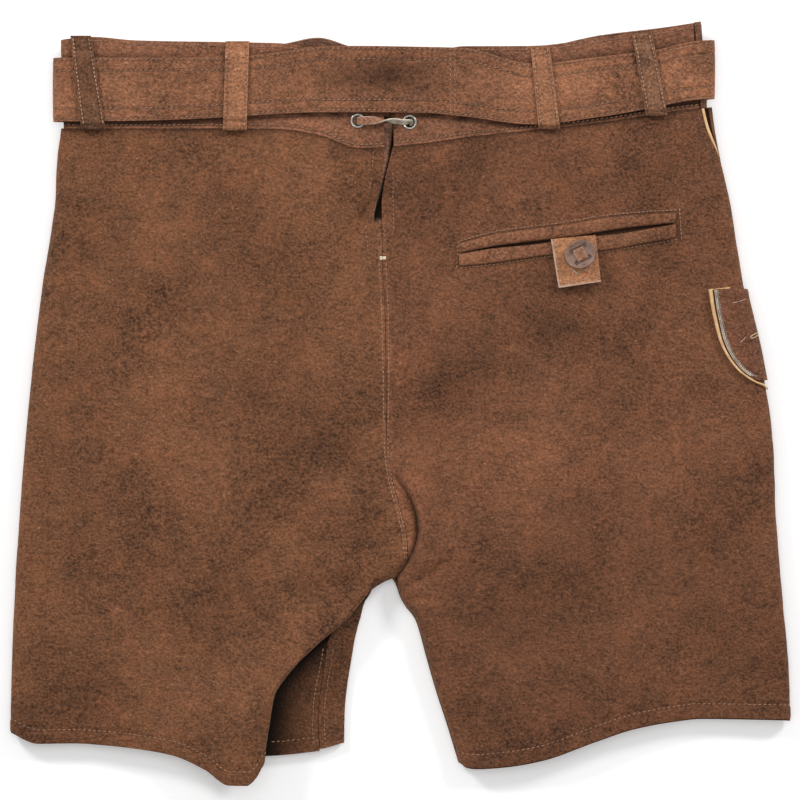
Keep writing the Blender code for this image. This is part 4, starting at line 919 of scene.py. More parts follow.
def strap(name, centres, across, up, half_width, half_thick, materials, node=None, marks=(),
          groove=0.22, crown=0.0, shades=None, steps=8, raw_back=False):
    """Loft of a rounded section. across and up are unit vectors at each point of the path.

    raw_back gives the underside the finish of the cut edge.
    """
    centres, across, up = (np.asarray(a, float) for a in (centres, across, up))
    half_width = np.broadcast_to(half_width, len(centres))
    half_thick = np.broadcast_to(half_thick, len(centres))
    base = strap_section(half_width.mean(), half_thick.mean(), marks, steps)
    rings, wear_and_shade = [], []
    for c, a, u, hw, ht in zip(centres, across, up, half_width, half_thick):
        x = base[:, 0] * hw / half_width.mean()
        z = base[:, 1] * ht / half_thick.mean()
        edge = hw - np.abs(x)
        dip = sum(bump(edge - m, 0.6) for m in marks) if marks else 0.0 * x
        rise = crown * (1 - (x / hw) ** 2) - groove * dip
        z = z + rise * (base[:, 2] > 0)
        rings.append(c + a * x[:, None] + u * z[:, None])
        # Painted shade in the stitch grooves, and a lighter rim just inside each long edge.
        wear_and_shade.append(1 - 0.42 * dip + 0.22 * bump(edge - 0.5, 0.7))
    rings = np.array(rings)
    count, around = rings.shape[:2]
    faces = tube_faces(count, around)
    on_side = base[:, 2] <= 0 if raw_back else base[:, 2] == 0
    slots = [int(on_side[i] and on_side[(i + 1) % around])
             for _ in range(count - 1) for i in range(around)] + [1, 1]
    ob = add_piece(name, rings, faces, materials, node, 60, shades, slots, wear_and_shade)
    return face_up(ob)


def rod(name, points, radii, mat, node=None, cyclic=False, sides=12):
    """Round rod or cord along points, with its own radius at each."""
    points = np.asarray(points, float)
    radii = np.broadcast_to(radii, len(points))
    if cyclic:
        tangent = unit(np.roll(points, -1, 0) - np.roll(points, 1, 0))
    else:
        tangent = frames(points)
    side = unit(np.cross(tangent, (0.12, 0.2, 1.0)))
    up = np.cross(side, tangent)
    angle = np.linspace(0, 2 * np.pi, sides, endpoint=False)
    rings = points[:, None] + radii[:, None, None] * (
        side[:, None] * np.cos(angle)[None, :, None] + up[:, None] * np.sin(angle)[None, :, None])
    count = len(points)
    if cyclic:
        rings = np.concatenate([rings, rings[:1]])
        faces = [tuple(int(i) % (count * sides) for i in f)
                 for f in grid_faces(count + 1, sides, wrap=True)]
        rings = rings[:-1]
    else:
        faces = tube_faces(count, sides)
    return face_up(add_piece(name, rings, faces, [mat], node, sharp=60))


print("shades on the panels:", len(SHADES.rows), "and on the belt:", len(BELT_SHADES.rows))

# %% [markdown]
# ## Back and front panels
# Each panel is read row by row, from its waist seam to its hem. A row starts on the side seam,
# rounds the side and crosses the leg. Above the crotch it ends at the seat seam, and below it
# on the inside leg. The left leg has slid over itself, so its rows end in a small S.
# The hem is turned under by 9 mm, which shows as a sunk line of stitches over a thicker edge.


# %% Rounded sides
def edge_point(x, y, side, angle, radius=EDGE_R):
    """Point on the rounded side: angle 0 is the outermost line, +90 the back, -90 the front."""
    a = np.radians(angle)
    bend = np.radians(np.maximum(np.abs(angle) - UPRIGHT, 0) * 90 / (90 - UPRIGHT))
    px = x - side * radius * (1 - np.cos(bend))
    zm = seam_height(y)
    up = mix(zm, back_height(px, y), np.sin(a))
    down = mix(zm, front_height(px, y), -np.sin(a))
    return np.stack([px, y + 0 * px, np.where(a >= 0, up, down)], -1)


def side_radius(y, wide):
    """Rounding of a side, which is wide near the waist."""
    return mix(EDGE_R, wide, ease((y - 130) / 50))


def seam_turn(y):
    """How far the right side seam has rolled onto the back, in degrees."""
    return SEAM_TURN.at("angle", y) if y > 150 else 0.0


def seam_angle(gap, y, side, front):
    """Angle at which a panel starts, so that it clears the seam line by gap."""
    x = outline(y, side) - side * EDGE_R
    wall = seam_height(y) - front_height(x, y) if front else back_height(x, y) - seam_height(y)
    return math.degrees(math.asin(gap / float(wall)))


def edge_angles(first, last, count):
    sign = 1 if last > first else -1
    near = first * sign >= 0 and abs(first) < UPRIGHT - 5
    second = UPRIGHT * sign if near else first + sign * min(12.0, abs(last - first) / 5)
    return np.concatenate([[first], np.linspace(second, last, count - 1)])


def closing(v):
    """How far the back and the front have come together above the crotch."""
    return ease((v - SHUT_V) / 0.05)


def below_crotch(v):
    """Share of the way down the leg, and how far the row is a leg's row."""
    share = np.clip((v - CROTCH_V) / (1 - CROTCH_V), 0, 1)
    return share, ease((v - CROTCH_V) / 0.02)


ROWS = np.concatenate([np.linspace(0, 0.04, 7)[:-1], np.linspace(0.04, 0.64, 84)[:-1],
                       np.linspace(0.64, 0.76, 30)[:-1], np.linspace(0.76, 0.95, 34)[:-1],
                       np.linspace(0.95, 1.0, 13)])
FRONT_ROWS = np.concatenate([np.linspace(0, 0.66, 36)[:-1], np.linspace(0.66, 0.76, 20)[:-1],
                             np.linspace(0.76, 0.95, 22)[:-1], np.linspace(0.95, 1.0, 9)])
EDGE_COUNT = 14      # points of a row round its side
TAIL = 56            # and round the left leg's S-fold
FRONT_TAIL = 14      # and at a front panel's inner edge
INNER_ROLL = 6.0     # rounding of the right leg's inner edge
HEM_DEEP = 9.0       # from the hem's fold to its stitches


def fit_rows(grid, rows, top, hem, rise, kept=0):
    """Bring the first row to the waist seam and the last to the hem, fading between."""
    top_error = top(grid[0, :, 0]) - GAP - grid[0, :, 1]
    hem_error = hem.at("y", grid[-1, :, 0]) + rise - grid[-1, :, 1]
    if kept:
        hem_error[-kept:] *= ease(1 - np.arange(kept) / 9.0)
    for r, v in enumerate(rows):
        grid[r, :, 1] += top_error * (1 - v) ** 5 + hem_error * v ** 7


def hem_relief(grid):
    """Turned hem: a sunk line of stitches above a slightly thicker edge."""
    d = from_last_row(grid)
    return -0.42 * bump(d - HEM_DEEP, 0.9) + 0.35 * ease((HEM_DEEP - d) / 1.2) \
        - 0.5 * bump(d, 0.7)


def seam_relief(grid, line, start, stop):
    """Seat seam: the edge rolls down into the seam and rises beside it."""
    d = np.abs(grid[..., 0] - line.at("x", grid[..., 1], 1))
    here = ease((start - grid[..., 1]) / 12.0) * ease((grid[..., 1] - stop) / 8.0)
    return here * (-0.45 * bump(d, 0.7) + 0.45 * bump(d - 2.6, 1.6))


def panel_painted_shade(grid):
    """Painted shade along a panel's edges: in the hem's stitch groove, and a painted shadow under
    the waist seam's lip. A lighter band runs on the raised seat seam, and the hem's fold is
    lighter.
    """
    d = from_last_row(grid)
    seat = np.abs(grid[..., 0] - CENTRE_RIGHT.at("x", grid[..., 1], 1))
    # A lighter band along the raised seat seam.
    seam_band = 0.30 * bump(seat - 1.4, 1.8) * ease((128 - grid[..., 1]) / 12) \
        * ease((grid[..., 1] + 104) / 12) * (grid[..., 2] > 8)
    top = np.linalg.norm(grid - grid[:1], axis=-1)
    # Painted shade in the hem's stitch groove, lighter at the hem's fold, and a painted shadow
    # along the top rows under the waist seam.
    return (1 + seam_band - 0.22 * bump(d - HEM_DEEP, 1.0) + 0.10 * bump(d - 1.0, 1.5)) \
        * (1 - 0.55 * bump(top, 1.7) - 0.15 * bump(top, 7.0))


# %% The right back panel
def back_right():
    inner = INNER_RIGHT.along("x", "y")
    grid = []
    for v in ROWS:
        leg = v > CROTCH_V
        yo = mix(TOP_Y[1], HEM_Y[1], v)
        yc = mix(SEAT_TOP_Y, SEAT_END_Y[1], v / CROTCH_V)
        end = inner((v - CROTCH_V) / (1 - CROTCH_V)) if leg else \
            np.array((CENTRE_RIGHT.at("x", yc, 1) - 0.1, yc))
        roll = closing(v)
        end = end + np.array((SUEDE / 2 + 0.5, 0)) * roll
        turn = seam_turn(yo)
        radius = side_radius(yo, RIGHT_R)
        piping = 0.7 if yo > 60 else 0.2
        angles = edge_angles(turn + seam_angle(piping, yo, 1, False), 90, EDGE_COUNT)
        xo = outline(yo, 1)
        row = list(edge_point(xo, yo, 1, angles, radius))
        t = np.linspace(0, 1, 116)[1:]
        near = end[0] + mix(2.4, INNER_ROLL, roll)
        xs = mix(xo - radius, near, 1 - (1 - t) ** 1.45)
        ws = (xo - xs) / (xo - end[0])
        row += [(x, mix(yo, end[1], w), 90) for x, w in zip(xs, ws)]
        for a in np.linspace(82, 2.5, 12):
            x = end[0] + mix(0.029 * a, INNER_ROLL * (1 - math.cos(math.radians(a))), roll)
            row.append((x, end[1], a))
        grid.append(row)
    grid = np.array(grid, float)
    fit_rows(grid, ROWS, lambda x: WAIST.at("seam", x), HEM_RIGHT, 0.2)
    body = grid[:, EDGE_COUNT:]
    z = back_height(body[..., 0], body[..., 1])
    roll = closing(ROWS)[:, None]
    body[..., 2] = mix(mix(z, 5.4, roll), z, np.sin(np.radians(body[..., 2])))
    relief = hem_relief(grid) + seam_relief(grid, CENTRE_RIGHT, 92, -50)
    return push(grid, relief + uneven(grid, 17, 0.35, 1) + uneven(grid, 6, 0.12, 2))


# %% The left back panel and its S-fold
def back_left():
    fold = FOLD.along("crest_x", "crest_y", "rise", "under", "low", "seam_x", "seam_y")
    turns = (0.0, 0.10, 0.24, 0.42, 0.62, 0.78, 0.90, 1.0)
    grid = []
    for v in ROWS:
        yo = mix(TOP_Y[-1], HEM_Y[-1], v)
        radius = side_radius(yo, WAIST_R + 1)
        xo = outline(yo, -1)
        angles = edge_angles(seam_angle(0.2, yo, -1, False), 90, EDGE_COUNT)
        row = list(edge_point(xo, yo, -1, angles, radius))
        u, depth = below_crotch(v)
        yc = mix(SEAT_TOP_Y, SEAT_END_Y[-1], min(v / CROTCH_V, 1.0))
        met = ease((SPLIT_END_Y - yc) / 3.0)
        end = (mix(CENTRE_LEFT.at("x", yc, 1),
                   CENTRE_RIGHT.at("x", yc, 1) - 0.2, met), yc)
        cx, cy, rise, under, low, sx, sy = fold(u)
        cx -= SUEDE / 2
        bend = min(4.0, (rise - low) / 2.6)
        tuck = cx - under
        hang = rise - bend * 1.8
        s_shape = [
            (cx - bend, cy, rise), (cx - bend * 0.3, cy, rise - bend * 0.28),
            (cx, cy, rise - bend), (cx - bend * 0.3, cy, rise - bend * 1.75),
            (cx - under * 0.62, mix(cy, sy, 0.3), mix(hang, low, 0.35)),
            (tuck, mix(cy, sy, 0.5), mix(hang, low, 0.68)),
            (mix(tuck, sx, 0.5), mix(cy, sy, 0.7), low + 0.25),
            (sx + 0.4, sy, low)]
        flat = []
        for t in turns:
            x = mix(end[0] - 17.0, end[0], t)
            y = mix(yo, end[1], (x - xo) / (end[0] - xo))
            z = back_height(x, y)
            flat.append((x, y, mix(z, mix(z, 6.8, t ** 2.5), closing(v))))
        tail = [mix(np.array(f), np.array(s), depth) for f, s in zip(flat, s_shape)]
        stop = tail[0]
        t = np.linspace(0, 1, 90)[1:-1]
        xs = mix(xo + radius, stop[0], 1 - (1 - t) ** 1.25)
        row += [(x, mix(yo, stop[1], (x - xo) / (stop[0] - xo)), 0) for x in xs]
        grid.append(row + list(along(tail, TAIL)))
    grid = np.array(grid, float)
    tail_z = grid[:, -TAIL:, 2].copy()
    fit_rows(grid, ROWS, lambda x: WAIST.at("seam", x), HEM_LEFT, 0.2, kept=TAIL)
    body = grid[:, EDGE_COUNT:-TAIL]
    crest = grid[:, -TAIL:-TAIL + 1]
    depth = ease((ROWS - CROTCH_V) / 0.02)[:, None]
    near = np.exp(-((crest[..., 0] - body[..., 0]) / 34.0) ** 2)
    swell = tail_z[:, :1] - back_height(crest[..., 0], crest[..., 1])
    body[..., 2] = back_height(body[..., 0], body[..., 1]) + swell * near * depth
    shut = closing(ROWS)[:, None] * np.linspace(0, 1, TAIL) ** 2.5
    plain = mix(back_height(grid[:, -TAIL:, 0], grid[:, -TAIL:, 1]), 6.8, shut)
    grid[:, -TAIL:, 2] = mix(plain, tail_z, depth)
    relief = hem_relief(grid) + seam_relief(grid, CENTRE_LEFT, 92, -106)
    return push(grid, relief + uneven(grid, 17, 0.35, 3) + uneven(grid, 6, 0.12, 4))


# %% The front panels
def front_panel(side):
    """Front cloth: flat on the floor, turned up at the side and the inseam."""
    inner = INNER_RIGHT.along("x", "y")
    fold = FOLD.along("crest_x", "crest_y", "edge_x", "low", "seam_x", "seam_y")
    grid = []
    for v in FRONT_ROWS:
        yo = mix(TOP_Y[side], HEM_Y[side], v)
        radius = side_radius(yo, RIGHT_R if side > 0 else WAIST_R + 1)
        xo = outline(yo, side)
        turn = seam_turn(yo) if side > 0 else 0.0
        piping = 1.25 if (side > 0 and yo > 60) else 0.2
        clear = seam_angle(piping, yo, side, True) * (1.35 if turn > 1 else 1.0)
        row = list(edge_point(xo, yo, side, edge_angles(turn - clear, -90, EDGE_COUNT), radius))
        u, depth = below_crotch(v)
        cf = (FRONT_CENTRE + side * GAP / 2, mix(front_seam(FRONT_CENTRE) - GAP, -112.6,
                                                 min(v / CROTCH_V, 1.0)))
        if side > 0:
            ex, ey = inner(u)
            ex += SUEDE / 2
            tail = [(ex + 4.5, ey, 0.7), (ex + 1.6, ey, 1.0), (ex + 0.4, ey, 2.2),
                    (ex, ey, 4.9)]
        else:
            _, ey, ex, low, sx, sy = fold(u)
            ex -= SUEDE / 2
            level = np.clip((ex - sx) / 6.0, 0, 1)
            turn_in = 7.0 * level * (1 - level)
            tail = [(ex - 4.0, ey, 0.7), (ex - 0.5, ey, 1.4), (ex, ey, mix(0.7, low, 0.6)),
                    (sx + 0.7 * level + turn_in, sy, low - 0.5 * (1 - level) - turn_in)]
        spread = side * (0.6 * closing(v) + 0.35 * ease((v - 0.45) / 0.1))
        flat = [(cf[0] + spread + side * d, cf[1],
                 front_height(cf[0], cf[1]) + up * closing(v))
                for d, up in ((6.0, 0.0), (3.4, 0.4), (1.6, 1.6), (0.0, 3.4))]
        tail = along([mix(np.array(f), np.array(s), depth) for f, s in zip(flat, tail)],
                     FRONT_TAIL)
        for t in np.linspace(0, 1, 52)[1:-1]:
            x = mix(xo - side * radius, tail[0][0], t)
            row.append((x, mix(yo, tail[0][1], (x - xo) / (tail[0][0] - xo)), 0))
        grid.append(row + list(tail))
    grid = np.array(grid, float)
    hem = HEM_RIGHT if side > 0 else FRONT_HEM_LEFT
    fit_rows(grid, FRONT_ROWS, front_seam, hem, -1.2 if side > 0 else 1.0)
    body = grid[:, EDGE_COUNT:-FRONT_TAIL]
    body[..., 2] = front_height(body[..., 0], body[..., 1])
    return grid


SURFACE = {}


def remember(name, ob):
    """Keep a piece's surface in mm, so that what is sewn to it can be laid on it."""
    points = [tuple(v.co / MM) for v in ob.data.vertices]
    SURFACE[name] = BVHTree.FromPolygons(points, [tuple(f.vertices) for f in ob.data.polygons])
    return ob


def fold_painted_shade(grid):
    """Painted shade on the lower ply of the left leg's fold, dark beside the crest above it."""
    fold_shade = panel_painted_shade(grid)
    tail = grid[:, -TAIL:]
    crest = tail[:, 6:7, 0]
    hidden = np.linspace(0, 1, TAIL) ** 0.5 * (np.arange(TAIL) > 9)
    # Painted shade, darkest right beside the overhanging crest.
    shade = 0.985 * np.exp(-(np.maximum(tail[..., 0] - crest, 0) / 19.0) ** 2.2)
    down = ease((ROWS - CROTCH_V) / 0.03)[:, None]
    fold_shade[:, -TAIL:] *= 1 - shade * down * ease(hidden * 4)
    return fold_shade


def right_painted_shade(grid):
    """Painted shade: a near black pocket mouth, and a dark crevice under the right leg's
    small overlap.
    """
    x, y = grid[..., 0], grid[..., 1]
    mouth = bump(y - WELT.at("mouth", x), 3.0) * (x > 40) * (x < 176)
    rise = OVERLAP.at("rise", y, 1) * (y < -44) * (y > -114) / 3.0
    crevice = bump(x - OVERLAP.at("x", y, 1) + 1.1, 1.5) * np.sqrt(rise)
    return panel_painted_shade(grid) * (1 - 0.93 * mouth) * (1 - 0.88 * crevice)


panel_grids = {"back_left": back_left(), "back_right": back_right(),
               "front_left": front_panel(-1), "front_right": front_panel(1)}
# Each panel's painted shade, which becomes the shade factor of its wall.
PAINTED_SHADE = {"back_left": fold_painted_shade, "back_right": right_painted_shade}
for node, grid in panel_grids.items():
    finish = LEATHER[node] if node in LEATHER else LEATHER["front"]
    made = leather_wall(node + "_suede", grid, SUEDE, finish, EDGE["brown"], node, SHADES,
                        PAINTED_SHADE.get(node, panel_painted_shade)(grid))
    remember(node, made)
    declare_sheet(made, grid, [node.replace("back", "front")] if "back" in node else [])

# %% [markdown]
# ## Waistband
# Two plies of suede glued back to back, with a folded edge at the top and a seam at the bottom
# that the panel hangs from. The back half is split and laced. A row of stitches runs beside
# each long edge, so the band is sunk there and a little proud at the very edge.


# %% Waistband halves
def waist_side(y, side):
    """Outermost line of the waistband at a side, from its seam to its top."""
    t = (y - 178) / 56.0
    return mix(199.6, 195.6, t) - BAND / 2 if side > 0 else mix(-220.0, -222.0, t) + BAND / 2


def waistband(side, end_x, back):
    top = "top" if back else "front_top"
    base = 178 if side < 0 else 192
    shares = np.concatenate([[0, 0.012, 0.03, 0.05, 0.075], np.linspace(0.12, 0.88, 9),
                             [0.925, 0.95, 0.97, 0.988, 1]])
    turn = 60.0 if side > 0 else 0.0
    wide = WAIST_R if side < 0 else 9.0
    goal = 90 if back else -90
    grid = []
    for t in shares:
        xs = waist_side(mix(base, base + 56, t), side)
        line = []
        for a in edge_angles(turn + 3.0 * math.copysign(1, goal), goal, EDGE_COUNT):
            bend = math.radians(max(abs(a) - UPRIGHT, 0) * 90 / (90 - UPRIGHT))
            line.append((xs - side * wide * (1 - math.cos(bend)), a))
        line += [(x, goal) for x in np.linspace(line[-1][0], end_x, 120)[1:]]
        x, a = np.array(line).T
        y_low = WAIST.at("seam", x) if back else front_seam(x)
        middle = (BACK_WAIST_Z + FRONT_WAIST_Z) / 2
        s = np.sin(np.radians(a))
        z = np.where(a >= 0, mix(middle, back_waist(x), s), mix(middle, front_waist(x), -s))
        grid.append(np.stack([x, mix(y_low, WAIST.at(top, x), t), z], -1))
    grid = np.array(grid)
    width = np.linalg.norm(grid[-1] - grid[0], axis=-1)
    d = shares[:, None] * width
    edge = np.minimum(d, width - d)
    end = np.abs(grid[..., 0] - end_x)
    relief = -0.28 * bump(edge - 1.9, 0.7) - 0.35 * bump(edge, 0.5) - 0.35 * bump(end, 0.6)
    relief = relief + uneven(grid, 12, 0.25, 5)
    return push(grid, relief if back else -relief)


def band_painted_shade(grid, back):
    """Painted shadow below the belt's lower edge and beside its top edge, and painted shade in the
    stitch groove by the seam, on the back halves; all halves are a little lighter at the seam.
    """
    low = WAIST.at("belt_low", grid[..., 0])
    top = WAIST.at("belt_top", grid[..., 0])
    seam = WAIST.at("seam", grid[..., 0])
    y = grid[..., 1]
    # Painted shadow along both edges of the belt, and painted shade in the stitch groove by the
    # seam.
    shadowed = 0.80 * bump(np.maximum(low - y, 0), 3.0) * (y < low + 2) \
        + 0.45 * bump(np.maximum(y - top, 0), 2.2) * (y > top - 2)
    shadowed = shadowed + 0.3 * bump(y - seam - 2.0, 0.9)
    return 1 - np.clip(shadowed, 0, 0.9) * back + 0.2 * bump(y - seam, 1.1)


HOLE = 4.1           # half the hole that an eyelet is set in
HOLE_SIDES = 32
BANDS = (("waistband_back_left", -1, -11.8, True), ("waistband_back_right", 1, -5.2, True),
         ("waistband_front_left", -1, FRONT_CENTRE - GAP / 2, False),
         ("waistband_front_right", 1, FRONT_CENTRE + GAP / 2, False))
band_grids = {}
for node, side, end_x, back in BANDS:
    band_grids[node] = waistband(side, end_x, back)
    edge = EDGE["yellow"] if node.endswith("back_right") else EDGE["brown"]
    face = LEATHER["band"] if back else LEATHER["front_band"]
    made = leather_wall(node + "_suede", band_grids[node], BAND, face, edge, node,
                        wear_and_shade=band_painted_shade(band_grids[node], back))
    if back:
        x, y = EYELETS.rows[0 if side < 0 else 1]
        n = HOLE_SIDES
        hole = add_piece("hole", [(x + HOLE * math.cos(a), y + HOLE * math.sin(a), z)
                                  for z in (5, 28)
                                  for a in np.linspace(0, 2 * np.pi, n, endpoint=False)],
                         [tuple(range(n))[::-1], tuple(range(n, 2 * n))]
                         + [(i, (i + 1) % n, n + (i + 1) % n, n + i) for i in range(n)],
                         [EDGE["brown"]])
        cut_out(made, hole)
    remember(node, made)
    declare_sheet(made, band_grids[node])

# %% [markdown]
# ## Belt
# One strap of thick suede goes all round, and its two ends meet under the garment at a plain
# frame buckle. It is a loft of one rounded section along a path in x and z. Four rows of
# stitches hold its plies together, each in a shallow groove.


# %% Belt path
BELT_LEFT = -226.9
BELT_RIGHT = 203.4
TIP_X = -105.0
HEEL_X = -22.0
FAR_X = 10.0
HEEL_Z = 5.9
UNDER_SAG = 4.5
BUCKLE_CORNER = 3.0
BUCKLE_WIRE = 1.2
BELT_ROWS = (1.5, 8.4)       # stitch rows, from each long edge
JOIN_X = (31.4, 34.4)        # upright double row where the belt's back is pieced


def belt_height(x):
    return back_waist(x) + BAND / 2 + GAP + STRAP / 2


def belt_edges(x, front):
    low = WAIST.at("belt_low", x)
    top = WAIST.at("belt_top", x)
    if front:
        t = (x - BELT_LEFT) / (BELT_RIGHT - BELT_LEFT)
        sag = UNDER_SAG * np.sin(np.pi * np.clip(t, 0, 1))
        low = mix(182.8, 197.8, t) - sag
        top = mix(224.4, 236.0, t) - sag
    return low, top


def belt_wrap(side):
    """Half round at a side, from the back run to the front run."""
    high = belt_height(BELT_RIGHT if side > 0 else BELT_LEFT)
    low = FRONT_WAIST_Z - BAND / 2 - GAP - STRAP / 2
    radius = (high - low) / 2
    edge = (BELT_RIGHT if side > 0 else BELT_LEFT) - side * STRAP / 2
    cx = edge - side * radius
    cz = (high + low) / 2
    angles = np.radians(np.linspace(90, -90, 11))
    return [(cx + side * radius * math.cos(a), cz + radius * math.sin(a)) for a in angles]


def belt_path():
    """Rows of x, z, thickness and kind: 0 over the back, 1 below, 2 the cut tip."""
    low = FRONT_WAIST_Z - BAND / 2 - GAP - STRAP / 2
    thin = 1.1
    loop_r = 1.5 + thin / 2
    upper = 3.3 + 2 * thin + GAP - thin / 2 + 0.1
    lower = 3.3 + thin / 2 + 0.1
    left, right = belt_wrap(-1), belt_wrap(1)
    path = [(x, lower, thin, 1) for x in (-50.0, -38.0, -27.5)]
    for a in np.radians(np.linspace(-150, 150, 21)):
        path.append((HEEL_X + loop_r * math.cos(a), HEEL_Z + loop_r * math.sin(a), thin, 1))
    path += [(-28.5, upper + 0.9, thin, 1), (-34.0, upper + 0.1, thin, 1),
             (-50.0, upper, thin, 1), (-56.0, 4.8, STRAP - 0.1, 1), (-80.0, 4.8, STRAP, 1),
             (-104.0, 4.8, STRAP, 1), (-122.0, low + 0.3, STRAP, 1), (-140.0, low, STRAP, 1)]
    path += [(x, low, STRAP, 1) for x in np.linspace(-160, left[-1][0] + 8, 4)]
    path += [(x, z, STRAP, 1) for x, z in reversed(left)]
    path += [(x, belt_height(x), STRAP, 0)
             for x in np.linspace(left[0][0], right[0][0], 250)[1:-1]]
    path += [(x, z, STRAP, 1) for x, z in right]
    path += [(x, low, STRAP, 1) for x in np.linspace(right[-1][0] - 8, 40, 7)]
    lap = 1.5 + 1.2 + GAP + STRAP / 2 + 0.1
    path += [(26.0, low + 0.9, STRAP, 1), (12.0, lap, STRAP, 1), (4.0, lap, STRAP, 1),
             (-10.0, 2.4, STRAP, 1), (-20.0, 1.65, STRAP, 1), (-60.0, 1.55, STRAP, 1),
             (-96.0, 1.55, STRAP, 1), (TIP_X, 1.55, STRAP, 2)]
    return path, left[0][0], right[0][0]


def belt():
    path, first, last = belt_path()
    xz = np.array([(x, 0, z) for x, z, _, _ in path])
    centres, up, half = [], [], []
    for (x, z, thick, kind), tan in zip(path, frames(xz)):
        y0, y1 = belt_edges(x, kind > 0)
        if kind == 0:
            edge = ease(min(x - first, last - x) / 30.0)
            f0, f1 = belt_edges(x, True)
            y0, y1 = mix(f0, y0, edge), mix(f1, y1, edge)
            z += 0.35 * noise.noise(Vector((x / 22.0, 3.0, 1.0))) + 0.2 * bump(x - JOIN_X[1], 5)
        if kind == 2:
            y0, y1 = y0 + 9, y1 - 9
        centres.append((x, (y0 + y1) / 2, z))
        up.append((-tan[2], 0, tan[0]))
        half.append((float(y1 - y0) / 2, thick / 2))
    half = np.array(half)
    across = np.tile((0.0, 1.0, 0.0), (len(path), 1))
    made = strap("belt_strap", centres, across, up, half[:, 0], half[:, 1],
                 [LEATHER["belt"], EDGE["brown"]], "belt", BELT_ROWS, 0.22, 0.25,
                 BELT_SHADES, 14)
    length = run_of(xz)[-1] * MM
    print("belt: %.0f mm long and %.1f mm wide" % (length / MM, half[:, 0].mean() * 2))
    return remember("belt", made)


def belt_buckle():
    low, top = belt_edges(-6.0, True)
    y0, y1 = float(low) - 2.4, float(top) + 2.4
    corners = [(HEEL_X, y1, HEEL_Z), (FAR_X, y1, 1.5), (FAR_X, y0, 1.5), (HEEL_X, y0, HEEL_Z)]
    points = []
    for i, corner in enumerate(corners):
        here = np.array(corner)
        before = np.array(corners[i - 1]) - here
        after = np.array(corners[(i + 1) % 4]) - here
        a = here + BUCKLE_CORNER * unit(before)
        b = here + BUCKLE_CORNER * unit(after)
        for t in np.linspace(0, 1, 9):
            points.append((1 - t) ** 2 * a + 2 * t * (1 - t) * here + t * t * b)
    return rod("buckle_frame", points, BUCKLE_WIRE, NICKEL, "belt_buckle", cyclic=True, sides=20)


belt()
belt_buckle()

# %% [markdown]
# ## Belt loops
# A loop is a strip sewn into the waistband's top, laid over the belt and turned under at its
# foot. It stands a little off the belt, which is what lets the belt slide, and its two rows of
# stitches draw its edges down.


# %% Loops
LOOP_ROW = 1.6       # stitches, from the loop's edge
LOOP_CLEAR = 0.2     # the loop stands off the belt by this


def loop_strip(node, row, back, face):
    top_x, top_y, foot_x, foot_y, top_w, foot_w = row
    if back:
        belt_low = WAIST.at("belt_low", mix(top_x, foot_x, 0.85))
        belt_top = WAIST.at("belt_top", mix(top_x, foot_x, 0.2))
        band = back_waist(foot_x) + BAND / 2 + GAP
    else:
        belt_low, belt_top = (float(v) for v in belt_edges(foot_x, True))
        band = FRONT_WAIST_Z - BAND / 2 - GAP
    sign = 1 if back else -1
    over = band + sign * (STRAP + GAP + LOOP_CLEAR + LOOP / 2)
    rest = band + sign * LOOP / 2
    fold = band + sign * (LOOP * 1.5 + GAP) if back else rest - LOOP - GAP
    path = [(top_y, rest), (min(belt_top + 4.6, top_y - 0.8), rest + (over - rest) * 0.1),
            (belt_top + 1.0, over), (belt_top - 3, over + 0.1 * back),
            ((belt_top + belt_low) / 2, over + (0.45 if back else 0)),
            (belt_low + 3, over + 0.1 * back), (belt_low - 0.6, over)]
    turn = abs(fold - rest) / 2
    foot = foot_y + turn
    path.append((max(foot + 0.6, belt_low - 2.6), mix(over, fold, 0.8)))
    mid = (fold + rest) / 2
    for a in np.radians((90, 50, 10, -30, -70, -90)):
        path.append((foot - turn * math.cos(a), mid + sign * turn * math.sin(a)))
    path.append((min(foot + 2.6, belt_low - 0.4), rest))
    path = [p for i, p in enumerate(path)
            if i == 0 or np.hypot(*(np.subtract(p, path[i - 1]))) > 0.3]
    yz = along(np.insert(np.array(path), 0, 0, axis=1), 90)
    centres, up, half = [], [], []
    for (_, y, z), tan in zip(yz, frames(yz)):
        t = np.clip((top_y - y) / (top_y - foot_y), 0, 1)
        centres.append((mix(top_x, foot_x, t), y, z))
        up.append((0, -tan[2], tan[1]))
        half.append(mix(top_w, foot_w, t) / 2)
    if up[0][2] < 0:
        up = [(a, -b, -c) for a, b, c in up]
    across = np.tile((1.0, 0.0, 0.0), (len(yz), 1))
    made = strap(node + "_strip", centres, across, up, half, LOOP / 2, [face, EDGE["brown"]],
                 node, (LOOP_ROW,), 0.16, 0.25, steps=9)
    length = run_of(yz)[-1] * MM
    round(mix(top_w, foot_w, 0.5) * MM, 4)
    return remember(node, made)


for i, row in enumerate(BACK_LOOPS.rows):
    loop_strip("loop_back_%d" % (i + 1), row, True, LEATHER["loop_%d" % (i + 1)])
for i, row in enumerate(FRONT_LOOPS.rows):
    loop_strip("loop_front_%d" % (i + 1), row, False, LEATHER["loop_1"])
print("loops:", len(BACK_LOOPS.rows), "over the back and", len(FRONT_LOOPS.rows), "below")

# %% [markdown]
# ## The laced back
# The split is drawn together by a flat thong through two plated eyelets, and a soft wedge of
# leather fills it, folded over once. The thong's cut edges are cream. It turns on its way to
# the right eyelet, so that its rough side shows there.


